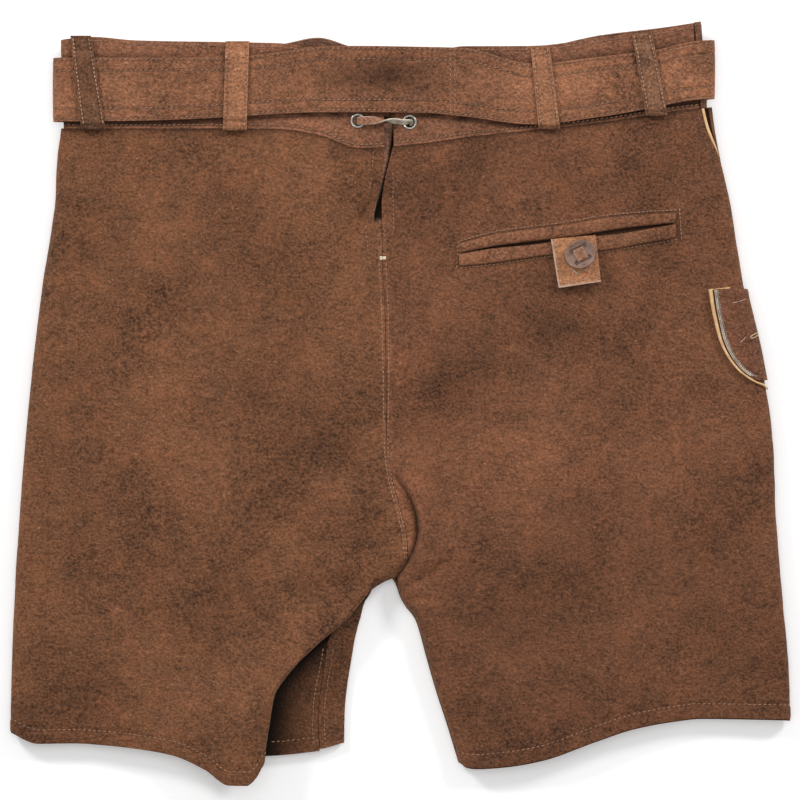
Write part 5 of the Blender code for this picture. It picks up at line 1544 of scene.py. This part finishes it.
# %% Eyelets, lace and gusset
def eyelet(node, x, y):
    """Set ring: barrel through the waistband with a flange above and below."""
    z = back_waist(x)
    top, low = z + BAND / 2 + GAP, z - BAND / 2 - GAP
    rolled = [(4.25 + 0.42 * math.cos(a), top + 0.22 + 0.42 * math.sin(a))
              for a in np.radians(np.linspace(-25, 200, 9))]
    profile = [(3.4, low - 0.5), (4.7, low - 0.5), (4.7, low), (3.8, low), (3.8, top)] \
        + rolled + [(3.5, top), (3.4, top - 0.6)]
    steps, n = 64, len(profile)
    angles = np.linspace(0, 2 * np.pi, steps, endpoint=False)
    points = [(x + r * math.cos(a), y + r * math.sin(a), h) for a in angles for r, h in profile]
    faces = [(i * n + j, (i + 1) % steps * n + j, (i + 1) % steps * n + (j + 1) % n,
              i * n + (j + 1) % n) for i in range(steps) for j in range(n)]
    return face_up(add_piece(node + "_ring", points, faces, [NICKEL], node, sharp=40))


for side, (x, y) in zip(("left", "right"), EYELETS.rows):
    eyelet("eyelet_" + side, x, y)


def lace_route():
    """Points of the thong in mm, from its hidden left end to its hidden right end."""
    left, right = EYELETS.rows
    zl, zr = back_waist(left[0]), back_waist(right[0])
    top = max(zl, zr) + BAND / 2 + GAP + 0.8 + 0.2 + 0.6
    inside = BAND / 2 + GAP + 0.5 + GAP + 0.55
    return [
        (left[0] - 13, left[1] + 0.4, zl - inside), (left[0] - 5, left[1] + 0.2, zl - inside),
        (left[0] - 1.2, left[1], zl - inside + 0.2), (left[0], left[1], zl - inside + 1.6),
        (left[0], left[1], zl), (left[0] + 0.1, left[1], top - 1.7),
        (left[0] + 1.3, left[1], top - 0.25), (left[0] + 4.5, left[1], top),
        (-22, 183.4, top), (-12, 183.4, top + 0.3), (-4, 183.0, top + 0.5),
        (right[0] - 4.5, right[1], top + 0.5), (right[0] - 1.3, right[1], top - 0.1),
        (right[0] - 0.1, right[1], top - 1.7), (right[0], right[1], zr),
        (right[0], right[1], zr - inside + 1.6), (right[0] + 1.2, right[1], zr - inside + 0.2),
        (right[0] + 5, right[1] + 0.2, zr - inside),
        (right[0] + 13, right[1] + 0.6, zr - inside)]


LACE_WIDE = 5.4


def lace():
    route = np.array(lace_route(), float)
    points = along(route, 120)
    tangent = frames(points)
    across, up, half = [], [], []
    right_x = EYELETS.rows[1][0]
    points[:, 2] += 1.3 * bump(points[:, 0] + 12, 7) * (points[:, 2] > 14)
    for p, tan in zip(points, tangent):
        turn = math.radians(125) * ease((p[0] + 23) / 19)
        turn *= ease((p[2] - back_waist(right_x) + 2.0) / 3.0)
        normal = unit(np.cross(tan, (0, 1, 0)))
        flat = np.cross(normal, tan)
        across.append(flat * math.cos(turn) - normal * math.sin(turn))
        up.append(normal * math.cos(turn) + flat * math.sin(turn))
        hole = bump(p[0] - EYELETS.rows[0][0], 1.5) + bump(p[0] - EYELETS.rows[1][0], 1.5)
        half.append(LACE_WIDE / 2 - 0.25 * min(float(hole), 1))
    strap("lace_thong", points, across, up, half, 0.55,
          [LEATHER["thong"], EDGE["cream"]], "lace", steps=6, raw_back=True)
    print("lace: %.0f mm long" % run_of(points)[-1])


lace()
GUSSET_WALL = 1.0
UNDER = -2.3         # gusset's edges below the middle of the back cloth


def gusset():
    """Wedge under the split back: one pleat folded over to the left."""
    grid = []
    for t in np.linspace(0, 1, 70):
        y = mix(182, 84, t)
        left, fold, right, deep = (GUSSET.at(n, y)
                                   for n in ("left", "fold", "right", "deep"))
        crest = UNDER + 1.0 * ease((164 - y) / 8.0)
        section = [(left, UNDER), (mix(left, fold, 0.5), UNDER), (fold - 1.2, crest),
                   (fold, crest - 1.1 * deep),
                   (fold + mix(1.0, -1.4, deep), crest - 2.3 * deep),
                   (mix(fold, right, 0.55), crest - 2.5 * deep),
                   (mix(fold, right, 0.8), UNDER - 0.8 * deep), (right, UNDER)]
        sink = 0.7 * ease((112 - y) / 15.0)
        row = [(x, y, back_height(x, y) + z - sink) for x, z in section]
        grid.append(along(row, 40))
    grid = np.array(grid)
    past_fold = grid[..., 0] - GUSSET.at("fold", grid[..., 1])
    open_part = ease((grid[..., 1] - SPLIT_END_Y) / 4.0)
    # Past the fold, in the open split, the gusset is painted near black: painted shade in the open
    # wedge.
    made = leather_wall("gusset_suede", grid, GUSSET_WALL, LEATHER["gusset"], EDGE["grey"],
                        "gusset", wear_and_shade=1 - 0.97 * open_part * ease((past_fold + 0.2) / 1.0))
    declare_sheet(made, grid)


gusset()

# %% [markdown]
# ## Back pocket
# The mouth is not cut: painted shade darkens the panel to near black between two strips, the welts.
# Each welt is a roll of leather, so it stands up in the middle and dives at its edges, and a frame
# of stitches runs round it. A tab hangs from the upper welt, and a horn button holds it shut.


# %% Welts and tab
def panel_height(x, y):
    flat_x, flat_y = np.broadcast_arrays(np.asarray(x, float), np.asarray(y, float))
    out = np.empty(flat_x.shape)
    for i in np.ndindex(flat_x.shape):
        hit = SURFACE["back_right"].ray_cast(Vector((flat_x[i], flat_y[i], 60)), Vector((0, 0, -1)))
        out[i] = hit[0].z if hit[0] else back_height(flat_x[i], flat_y[i])
    return out


def on_back(x, y, out):
    """A point moved out from the right back panel's middle."""
    step = 0.5
    zx = (back_height(x + step, y) - back_height(x - step, y)) / (2 * step)
    zy = (back_height(x, y + step) - back_height(x, y - step)) / (2 * step)
    normal = unit(np.stack([-zx, -zy, np.ones_like(zx)], -1))
    return np.stack([x + 0 * zx, y + 0 * zx, panel_height(x, y)], -1) + normal * out


def strip_on_back(node, low, high, swell, out):
    shares = np.concatenate([[0, 0.04, 0.10], np.linspace(0.2, 0.8, 7), [0.90, 0.96, 1]])
    grid = []
    x = np.linspace(*WELT_ENDS, 110)
    for t in shares:
        roll = swell * (1 - (2 * t - 1) ** 2) - 0.35 * bump(min(t, 1 - t), 0.06)
        grid.append(on_back(x, mix(low(x), high(x), t), out + roll))
    grid = np.array(grid)
    near_edge = np.minimum(shares, 1 - shares)[:, None] + 0 * x
    # The last argument paints shade along both long edges, where the welt dives down.
    made = leather_wall(node + "_suede", grid, TRIM, LEATHER["welt"], EDGE["brown"], node,
                        SHADES, 1 - 0.6 * bump(near_edge, 0.05))
    declare_sheet(made, grid)
    return remember(node, made)


WELT_OUT = SUEDE / 2 + GAP + TRIM / 2


def lens(x):
    """The mouth gapes a little, most beside the tab."""
    return 1.6 * bump(x - 84, 26) * (x < 108) + 2.4 * bump(x - 142, 26) * (x > 108)


strip_on_back("welt_upper", lambda x: WELT.at("mouth", x) + MOUTH / 2 - 0.2 + 0.45 * lens(x),
              lambda x: WELT.at("top", x) - 1.5, 0.75, WELT_OUT + 0.2)
strip_on_back("welt_lower", lambda x: WELT.at("low", x) + 0.5,
              lambda x: WELT.at("mouth", x) - MOUTH / 2 - 0.55 * lens(x), 0.55, WELT_OUT)
TAB_OUT = SUEDE / 2 + GAP + TRIM + GAP + TAB / 2


def pocket_tab():
    """Buttoning tab that hangs from the upper welt over the mouth."""
    grid = []
    for t in np.linspace(0, 1, 34):
        left = np.array((mix(96.6, 101.6, t), mix(106.4, 74.8, t)))
        right = np.array((mix(125.4, 129.0, t), mix(109.0, 79.0, t)))
        s = np.linspace(0, 1, 34)
        x, y = mix(left[0], right[0], s), mix(left[1], right[1], s)
        below = WELT.at("low", x) - y
        out = TAB_OUT + 0.75 - (TRIM + GAP) * 0.6 * ease(below / 9.0)
        out = out + 0.5 * ease((t - 0.75) / 0.25) * (1 - s) ** 2
        edge = np.minimum(np.minimum(s, 1 - s) * 29, (1 - t) * 31)
        out = out - 0.14 * bump(edge - 2.6, 0.7) - 0.15 * bump(edge, 0.5)
        grid.append([on_back(a, b, o) for a, b, o in zip(x, y, out)])
    grid = np.array(grid)
    skived = np.zeros((33, 33))
    skived[:, 0] = skived[-1] = 1
    made = leather_wall("pocket_tab_suede", grid, TAB, LEATHER["tab"], EDGE["pink"],
                        "pocket_tab", skived=skived)
    declare_sheet(made, grid, rests_on=["back_right"])
    return remember("pocket_tab", made)


pocket_tab()

# %% Button and its thong
BUTTON = (115.5, 96.6)
BUTTON_TURN = math.radians(26)
BUTTON_A = 10.7
BUTTON_B = 9.3
SLOT_OUT = 4.0


def button_frame():
    """Centre of the button's underside and its axes."""
    base = on_back(np.float64(BUTTON[0]), np.float64(BUTTON[1]), TAB_OUT + TAB / 2 + 2.3)
    up = unit(np.array((0.04, -0.03, 1.0)))
    along_slot = np.array((math.cos(BUTTON_TURN), math.sin(BUTTON_TURN), 0))
    along_slot = unit(along_slot - up * along_slot.dot(up))
    return base, along_slot, np.cross(up, along_slot), up


def oval_lathe(profile, middle, steps):
    """Turned oval, closed at both ends by a point: profile rows are share and height."""
    base, a_axis, b_axis, up = button_frame()
    points = [base + up * profile[0][1]]
    for share, height in profile:
        for a in np.linspace(0, 2 * np.pi, steps, endpoint=False):
            points.append(base + a_axis * BUTTON_A * share * math.cos(a)
                          + b_axis * BUTTON_B * share * math.sin(a) + up * height)
    points.append(base + up * middle)
    last = len(points) - 1
    faces = [(0, 1 + (i + 1) % steps, 1 + i) for i in range(steps)]
    for k in range(len(profile) - 1):
        a, b = 1 + k * steps, 1 + (k + 1) * steps
        faces += [(a + i, a + (i + 1) % steps, b + (i + 1) % steps, b + i)
                  for i in range(steps)]
    a = 1 + (len(profile) - 1) * steps
    return points, faces + [(a + i, a + (i + 1) % steps, last) for i in range(steps)]


def button():
    rim = [(0.93 + 0.07 * math.cos(a), 1.9 + 1.9 * math.sin(a))
           for a in np.radians(np.linspace(-80, 110, 12))]
    profile = [(0.70, 0.0)] + rim + [(0.83, 3.55), (0.76, 3.2), (0.66, 2.9), (0.4, 2.8)]
    points, faces = oval_lathe(profile, 2.75, 96)
    made = face_up(add_piece("button_horn", points, faces, [HORN], "button", sharp=40))
    base, a_axis, b_axis, up = button_frame()
    for sign in (1, -1):
        middle = base + b_axis * sign * SLOT_OUT + up * 3.5
        slot = add_piece("slot", [middle + a_axis * i * 5.8 + b_axis * j * 1.25 + up * k * 2.7
                                  for i in (-1, 1) for j in (-1, 1) for k in (-1, 1)],
                         [(0, 1, 3, 2), (4, 6, 7, 5), (0, 4, 5, 1), (2, 3, 7, 6),
                          (0, 2, 6, 4), (1, 5, 7, 3)], [THREAD["dark"]])
        cut_out(made, face_up(slot))
    soften = made.modifiers.new("worn edges", "BEVEL")
    soften.width = 0.16 * MM
    soften.segments = 2
    soften.limit_method = "ANGLE"
    soften.angle_limit = math.radians(50)
    make_real(made)
    return made


def button_thong():
    """Flat thong: its tip on the tab, up one slot, over and down the other."""
    base, a_axis, b_axis, up = button_frame()
    route = [(-13.2, -1.1), (-8.0, -1.0), (-6.5, -0.95), (-4.9, -0.8), (-4.0, -0.2),
             (-3.8, 1.2), (-3.8, 2.7), (-3.3, 3.35), (-2.2, 3.65), (0, 3.75), (2.2, 3.65),
             (3.3, 3.35), (3.8, 2.7), (3.8, 1.2), (3.6, -0.4), (2.8, -0.95), (-1.5, -0.95)]
    points = along([base + b_axis * s + up * h for s, h in route], 70)
    normals = np.cross(frames(points), a_axis)
    across = np.tile(a_axis, (len(points), 1))
    narrow = mix(0.18, 1.0, ease(np.linspace(0, 1, 70) / 0.14))
    strap("button_thong_strip", points, across, normals, 3.5 * narrow, 0.45,
          [LEATHER["thong"], EDGE["cream"]], "button_thong", steps=8)


button()
button_thong()

# %% [markdown]
# ## Side piping and knife pocket
# The right side seam is piped in gold tan leather, which shows where the front wraps over the
# hip. Lower down, a narrow pocket for a knife folds round the side. Its curve is corded with the
# same leather, and inside the cord runs a grey selvedge held by a white zigzag.


# %% Piping and knife pocket
def side_piping():
    points, radii = [], []
    for y in np.linspace(191.5, 80.0, 90):
        shown = ease((y - 146) / 18)
        points.append(edge_point(outline(y, 1), y, 1, seam_turn(y), side_radius(y, RIGHT_R))
                      + (mix(-0.5, -0.9, shown), 0, 0))
        radii.append(mix(0.5, 1.05, shown))
    return rod("side_piping_cord", points, radii, GOLD, "side_piping")


side_piping()


def knife_point(y, t, out):
    """Round the right edge: t = +1 at the pocket's outer line on the back, 0 at the edge."""
    xo = outline(y, 1)
    reach = xo - KNIFE.at("x", y)

    def bare(q):
        d = reach * abs(q)
        bend = math.degrees(math.acos(1 - min(d / EDGE_R, 1)))
        angle = math.copysign(UPRIGHT + bend * (90 - UPRIGHT) / 90, q)
        if d < EDGE_R:
            return edge_point(xo, y, 1, angle)
        z = panel_height(xo - d, y) if q > 0 else front_height(xo - d, y)
        return np.array((xo - d, y, float(z)))

    if abs(t) < 0.001:
        return np.array((xo + out, y, seam_height(y)))
    h = 0.3 / reach
    tangent = bare(t + h) - bare(t - h) if abs(t) > h else np.array((0, 0, -1.0))
    normal = unit(np.array((tangent[2], 0, -tangent[0])) * (1 if abs(t) > h else -1))
    return bare(t) + normal * out


def knife_inset(y):
    """Distance in x from the pocket's outer line to its own cut edge, beside the piping."""
    slope = (KNIFE.at("x", y + 1) - KNIFE.at("x", y - 1)) / 2
    return (KNIFE.at("bead", y) * 0.72 * 1.8 + 0.6) * math.hypot(1, slope)


KNIFE_OUT = SUEDE / 2 + GAP + 0.6 + TRIM / 2


def knife_pocket():
    low = KNIFE_LOW + 3.5
    grid = []
    for y in np.linspace(KNIFE_TOP, low, 60):
        reach = outline(y, 1) - KNIFE.at("x", y)
        stop = max(1 - (knife_inset(y) - 1.0) / reach, 0.06)
        roll = 0.35 * bump(KNIFE_TOP - y - 1.6, 1.4) - 0.3 * bump(KNIFE_TOP - y, 0.6)
        row = []
        for q in np.linspace(1, -1, 61):
            d = (1 - abs(q)) * reach
            row.append(knife_point(y, stop * math.copysign(abs(q) ** 1.6, q),
                                   KNIFE_OUT + roll - 0.2 * bump(d - 2.2, 1.0)))
        grid.append(row)
    grid = np.array(grid)
    made = leather_wall("knife_pocket_suede", grid, TRIM, LEATHER["knife"], EDGE["grey"],
                        "knife_pocket")
    declare_sheet(made, grid, rests_on=["back_right", "front_right"])
    return remember("knife_pocket", made)


knife_pocket()


def knife_cord():
    points, radii = [], []
    for y in np.linspace(KNIFE_TOP, KNIFE_LOW + 1.5, 70):
        bead = KNIFE.at("bead", y) * 0.72
        points.append(knife_point(y, 1.0, SUEDE / 2 + GAP + 0.2 + bead))
        radii.append(bead * 0.95)
    for t in np.linspace(0, 1, 12)[1:]:
        points.append(knife_point(mix(KNIFE_LOW + 1.5, 9.4, t), mix(1.0, 0.12, t),
                                  SUEDE / 2 + GAP + 0.2 + bead))
        radii.append(bead * 0.95)
    return rod("knife_piping_cord", points, radii, GOLD, "knife_piping")


knife_cord()

# %% [markdown]
# ## Sewing
# Thread is what makes leather read as a garment. Every stitch is a small capsule that dives
# into the surface at both ends, laid where a ray from above meets the leather, or on the
# leather's own grid where another layer covers it. A little unevenness comes from one seeded
# generator, so the sewing is the same each time.


# %% A row of stitches
rng = np.random.default_rng(11)
SIDES_OF_THREAD = 6
CAPSULE = np.array([(-1, 0.30), (-0.72, 0.86), (0, 1.0), (0.72, 0.86), (1, 0.30)])
CAPSULE_FACES = tube_faces(len(CAPSULE), SIDES_OF_THREAD)


def lay_on(names, x, y):
    """Highest point and normal of the named surfaces under a spot."""
    best = None
    for name in names:
        hit = SURFACE[name].ray_cast(Vector((x, y, 60)), Vector((0, 0, -1)))
        if hit[0] and (best is None or hit[0].z > best[0][2]):
            best = (np.array(hit[0]), np.array(hit[1]))
    return best


def even_steps(path, pitch):
    path = np.asarray(path, float)
    length = run_of(path)
    at = np.arange(pitch * 0.5, length[-1], pitch)
    return np.stack([np.interp(at, length, path[:, i]) for i in range(path.shape[1])], -1)


def stitch_frames(path, names, pitch):
    """Centre, direction and normal of each stitch along a line over the named surfaces."""
    spots = even_steps(path, pitch)
    heading = frames(spots)
    for spot, tan in zip(spots, heading):
        found = lay_on(names, spot[0], spot[1])
        if found:
            point, normal = found
            way = np.array((tan[0], tan[1], 0.0))
            way = way - normal * way.dot(normal)
            yield point, unit(way), normal


def grid_frames(points, normals, pitch):
    """The same, along points that already lie on the leather."""
    both = even_steps(np.hstack([points, normals]), pitch)
    for row, tan in zip(both, frames(both[:, :3])):
        yield row[:3], tan, unit(row[3:])


def sew(name, found, mat, length=2.1, radius=0.42, slant=0.0, high=0.35):
    """Join a capsule for each stitch into one piece."""
    points, faces = [], []
    ring = np.linspace(0, 2 * np.pi, SIDES_OF_THREAD, endpoint=False)
    for centre, way, normal in found:
        side = np.cross(normal, way)
        turn = slant + rng.normal(0, 0.05)
        way, side = (way * math.cos(turn) + side * math.sin(turn),
                     side * math.cos(turn) - way * math.sin(turn))
        centre = centre + side * rng.normal(0, 0.07)
        half = length / 2 * rng.uniform(0.9, 1.1)
        start = len(points)
        for s, share in CAPSULE:
            rise = radius * (high + 0.55 * (1 - s * s)) - radius * 0.35
            for a in ring:
                points.append(centre + way * s * half + normal * (rise + radius * share
                              * math.sin(a)) + side * radius * share * math.cos(a))
        faces += [[start + i for i in face] for face in CAPSULE_FACES]
    made = add_piece(name, points, faces, [mat], sharp=80)
    print(name + ":", len(points) // (SIDES_OF_THREAD * len(CAPSULE)), "stitches")
    return face_up(made)


def line_over(function, x0, x1, step=2.0):
    x = np.arange(x0, x1 + step, step)
    return np.stack([x, function(x)], -1)


def sewn_lines(lines, names, pitch=3.1):
    return [f for line in lines for f in stitch_frames(line, names, pitch)]


# %% Belt and loop stitches
def beside(column, offset, x0, x1):
    """Line that runs beside one of the waist's lines, offset up from it."""
    return line_over(lambda x: WAIST.at(column, x) + offset, x0, x1)


belt_lines = []
for inset in BELT_ROWS:
    belt_lines += [beside("belt_top", -inset, -224, 201), beside("belt_low", inset, -224, 201)]
for x in JOIN_X:
    low, top = WAIST.at("belt_low", x), WAIST.at("belt_top", x)
    belt_lines.append(np.array([(x, low + 1.5), (x, top - 1.5)]))
sew("belt_stitches", sewn_lines(belt_lines, ["belt"], 3.3), THREAD["brown"], 2.3, 0.42, 0.30,
    0.25)


def loop_lines(row):
    top_x, top_y, foot_x, foot_y, top_w, foot_w = row
    lines = []
    for sign in (-1, 1):
        top = (top_x + sign * (top_w / 2 - LOOP_ROW), top_y - 1.5)
        foot = (foot_x + sign * (foot_w / 2 - LOOP_ROW), foot_y + 3.0)
        lines.append(np.array([top, foot]))
    return lines


for i, (row, finish) in enumerate(zip(BACK_LOOPS.rows, ("tan", "rust", "tan", "tan"))):
    node = "loop_back_%d" % (i + 1)
    lines = loop_lines(row)
    if i == 2:
        lines.append(np.array([(row[0] - 4.5, 226.4), (row[0] + 4.8, 226.9)]))
    sew(node + "_stitches", sewn_lines(lines, [node], 2.7), THREAD[finish], 2.0, 0.48)

# %% Waistband and seat stitches
backs = ["waistband_back_left", "waistband_back_right"]
band_lines = [beside("top", -2.1, -219, -13), beside("top", -2.1, -4, 196),
              beside("seam", 2.0, -218, -13), beside("seam", 2.0, -4, 196)]
sew("waistband_stitches", sewn_lines(band_lines, backs), THREAD["brown"], 2.2, 0.42, 0.25)
front_lines = [beside("front_top", -2.2, -80, -36), beside("front_top", -2.2, 92, 196)]
sew("front_waistband_stitches",
    sewn_lines(front_lines, ["waistband_front_left", "waistband_front_right"]),
    THREAD["dark"], 2.0, 0.33)

SEAT_ROWS = Table(
    "y left right",
    (91, -15.0, -10.4), (59, -13.2, -9.0), (10, -12.2, -8.6), (-24, -11.6, -9.2),
    (-35, -11.0, -8.8), (-57, -7.0, -5.2), (-69.5, -3.4, -1.4), (-85.8, 0.4, 2.2),
    (-101, 1.6, 3.2))
SPLIT_ROWS = ([(-18.8, 164), (-19.2, 150), (-21.4, 137), (-23.6, 130)],
              [(-23.7, 115), (-22.9, 107), (-21.8, 98)], [(-11.2, 116), (-11.0, 98)],
              [(-5.8, 150), (-5.8, 130), (-5.4, 112)])
y = np.linspace(91, -101, 90)
seat_lines = [np.stack([SEAT_ROWS.at(side, y), y], -1) for side in ("left", "right")]
both = ["back_left", "back_right"]
sew("seat_stitches", sewn_lines(seat_lines, both, 2.9), THREAD["rust"], 2.1, 0.42)
sew("split_stitches", sewn_lines([np.array(r, float) for r in SPLIT_ROWS], both, 2.9),
    THREAD["brown"], 2.0, 0.36)
tack = [np.array([(-14.6, y0), (-10.4, y0 + 0.2)]) for y0 in (93.5, 94.2, 94.9)]
sew("split_tack", sewn_lines(tack, both, 2.1), THREAD["cream"], 2.4, 0.45)


# %% Hem and inside leg stitches
def row_from_hem(grid, distance, first, last):
    """Points and normals at a distance from the hem, between two columns."""
    d = from_last_row(grid)
    normal = normals_of(grid)
    if normal[grid.shape[0] // 2, grid.shape[1] // 2, 2] < 0:
        normal = -normal
    points, normals = [], []
    for c in range(first, last):
        order = np.argsort(d[:, c])
        points.append([np.interp(distance, d[order, c], grid[order, c, i]) for i in range(3)])
        normals.append([np.interp(distance, d[order, c], normal[order, c, i])
                        for i in range(3)])
    points, normals = np.array(points), np.array(normals)
    return points + normals * SUEDE / 2, normals


left, right = panel_grids["back_left"], panel_grids["back_right"]
hem_parts = [row_from_hem(left, HEM_DEEP, 2, left.shape[1] - TAIL + 12),
             row_from_hem(left, HEM_DEEP, left.shape[1] - 26, left.shape[1] - 1),
             row_from_hem(right, HEM_DEEP, 2, right.shape[1] - 3)]
hem_frames = [f for points, normals in hem_parts for f in grid_frames(points, normals, 3.3)]
sew("hem_stitches", hem_frames, THREAD["rust"], 2.0, 0.36, 0.1)


def column_line(grid, column, y_high, y_low, up):
    """Points and normals down one column of a grid."""
    normal = normals_of(grid)[:, column]
    normal = normal * np.sign(normal[:, 2:3] + 1e-9) if up else normal
    keep = (grid[:, column, 1] < y_high) & (grid[:, column, 1] > y_low)
    return grid[keep, column] + normal[keep] * SUEDE / 2, normal[keep]


inseam = [column_line(left, left.shape[1] - 4, -158, -224, True),
          column_line(panel_grids["front_left"], -3, -158, -224, True)]
inseam_frames = [f for points, normals in inseam for f in grid_frames(points, normals, 2.9)]
sew("inside_leg_stitches", inseam_frames, THREAD["rust"], 2.0, 0.40)

# %% Pocket stitches
frame_line = [np.array([(35.6, 87.4), (36.2, 96), (36.6, 105.4)]),
              line_over(lambda x: WELT.at("top", x) + 0.4, 37.5, 178),
              np.array([(180.4, 126.8), (180.8, 118), (181.6, 106.2)]),
              line_over(lambda x: WELT.at("low", x) - 0.9, 37.5, 178)]
sew("pocket_frame_stitches", sewn_lines(frame_line, ["back_right"], 2.6), THREAD["rust"], 2.0,
    0.45)
tab_line = [np.array([(100.0, 103.0), (103.9, 78.0)]), np.array([(103.9, 77.8), (126.0, 81.4)]),
            np.array([(126.2, 81.8), (123.4, 104.0)])]
sew("tab_stitches", sewn_lines(tab_line, ["pocket_tab"], 2.6), THREAD["tan"], 1.9, 0.40)
side_line = [np.array([(190.8, 188.0), (194.7, 172.4), (201.2, 161.5), (205.4, 147.6),
                       (208.4, 138.6)])]
sew("side_seam_stitches", sewn_lines(side_line, ["back_right"], 2.6), THREAD["dark"], 1.8, 0.42)


# %% Knife pocket's selvedge, zigzag and chain stitch
def knife_line(inset, y0=KNIFE_TOP - 0.5, y1=KNIFE_LOW + 6.0, count=90):
    """Points along the pocket's curve, a distance in from its cut edge."""
    out = []
    for y in np.linspace(y0, y1, count):
        slope = float(KNIFE.at("x", y + 1) - KNIFE.at("x", y - 1)) / 2
        x = KNIFE.at("x", y) + knife_inset(y) + inset * math.hypot(1, slope)
        out.append((x, y))
    return np.array(out)


def thread_over(name, line, names, radius, mat, out=0.25):
    """A continuous thread laid over a surface along a line."""
    points = []
    for x, y in line:
        found = lay_on(names, x, y)
        if found:
            points.append(found[0] + found[1] * out)
    return rod(name, points, radius, mat, sides=6)


selvedge = [thread_over("knife_selvedge_%d" % (i + 1), knife_line(-0.35 + 0.48 * i),
                        ["knife_pocket"], 0.25, EDGE["cream"] if i != 1 else EDGE["grey"])
            for i in range(3)]
zigzag = knife_line(1.2)
zigzag[:, 0] += np.where(np.arange(len(zigzag)) % 2 == 0, -0.75, 0.95)
thread_over("knife_zigzag", zigzag, ["knife_pocket"], 0.14, THREAD["white"])
top_edge = [(x, KNIFE_TOP + 0.3) for x in np.linspace(201.0, 213.0, 16)]
thread_over("knife_top_cord", [(x, KNIFE_TOP - 0.4 + (x - 201) * 0.1) for x, _ in top_edge],
            ["back_right"], 0.6, GOLD, 1.0)
chain = [(229.0 + 2.7 * math.cos(a), 43.8 + 1.1 * math.sin(a) + 1.3 * math.cos(a))
         for a in np.linspace(-2.9, 2.9, 26)]
thread_over("knife_chain_stitch", chain, ["knife_pocket"], 0.22, THREAD["yellow"])
strokes = [[(219.8, 39.4), (223.6, 43.0)], [(214.4, 65.0), (218.4, 65.8)],
           [(219.2, 65.9), (222.8, 67.4)]]
tip = along([(111.0, 86.9, 0), (112.6, 85.0, 0), (113.6, 84.0, 0), (115.2, 85.9, 0)], 12)[:, :2]
thread_over("button_thong_tip", tip, ["pocket_tab"], 0.3, EDGE["cream"], 0.2)
for i, stroke in enumerate(strokes):
    line = along(np.hstack([np.array(stroke, float), np.zeros((2, 1))]), 8)[:, :2]
    thread_over("knife_stroke_%d" % (i + 1), line, ["knife_pocket"], 0.17, THREAD["pink"])
print("knife pocket trimmed with", len(selvedge), "selvedge threads")

# %% [markdown]
# ## Studio
# The garment is seen from straight above on a pale floor. Two broad lights stand above its
# upper corners, so each loop throws a small soft shadow towards the middle. A third hangs
# overhead, and a white room fills the rest. The camera is far away with a long lens, which
# keeps the outline true.


# %% Floor, lights and camera
WHITE = (1, 1, 1, 1)
FLOOR_HALF = 8.0             # metres
FLOOR_Z = -0.0004


def floor():
    mesh = bpy.data.meshes.new("floor")
    corners = [(x, y, FLOOR_Z) for x, y in ((-1, -1), (1, -1), (1, 1), (-1, 1))]
    mesh.from_pydata([(x * FLOOR_HALF, y * FLOOR_HALF, z) for x, y, z in corners], [],
                     [(0, 1, 2, 3)])
    mat, _, shader = blank_material("pale floor", 0.9)
    set_inputs(shader, Base_Color=(0.955, 0.955, 0.955, 1), Emission_Color=WHITE,
               Emission_Strength=0.16, Specular_IOR_Level=0.1)
    mesh.materials.append(mat)
    into_scene("floor", mesh)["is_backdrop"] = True


def soft_light(name, place, size, power):
    data = bpy.data.lights.new(name, "AREA")
    data.shape = "DISK"
    data.size = size
    data.energy = power
    ob = into_scene(name, data)
    ob.location = place
    ob.rotation_euler = (-Vector(place)).to_track_quat("-Z", "Y").to_euler()


floor()
soft_light("upper left light", (-1.6, 1.6, 1.25), 0.6, 34)
soft_light("upper right light", (1.6, 1.5, 1.25), 0.6, 30)
soft_light("overhead light", (0.0, 0.3, 2.6), 2.0, 16)
bpy.context.scene.view_settings.view_transform = "Standard"
world = bpy.data.worlds.new("white room")
bpy.context.scene.world = world
world.use_nodes = True
set_inputs(world.node_tree.nodes["Background"], Color=WHITE, Strength=0.45)

VIEW_WIDE = 0.520            # width of the floor that the picture spans
VIEW_FAR = 5.0
camera_data = bpy.data.cameras.new("camera")
camera_data.lens = camera_data.sensor_width * VIEW_FAR / VIEW_WIDE
camera_data.clip_end = 20
camera = into_scene("camera", camera_data)
camera.location = (-0.0013, 0.0020, VIEW_FAR + 0.012)
bpy.context.scene.camera = camera
print("camera %.1f m up with a %.0f mm lens" % (camera.location.z, camera_data.lens))

# %% Sizes, and the end
made_box = [list(corner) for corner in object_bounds()]
print("made box, mm:", [[round(c / MM, 1) for c in corner] for corner in made_box])
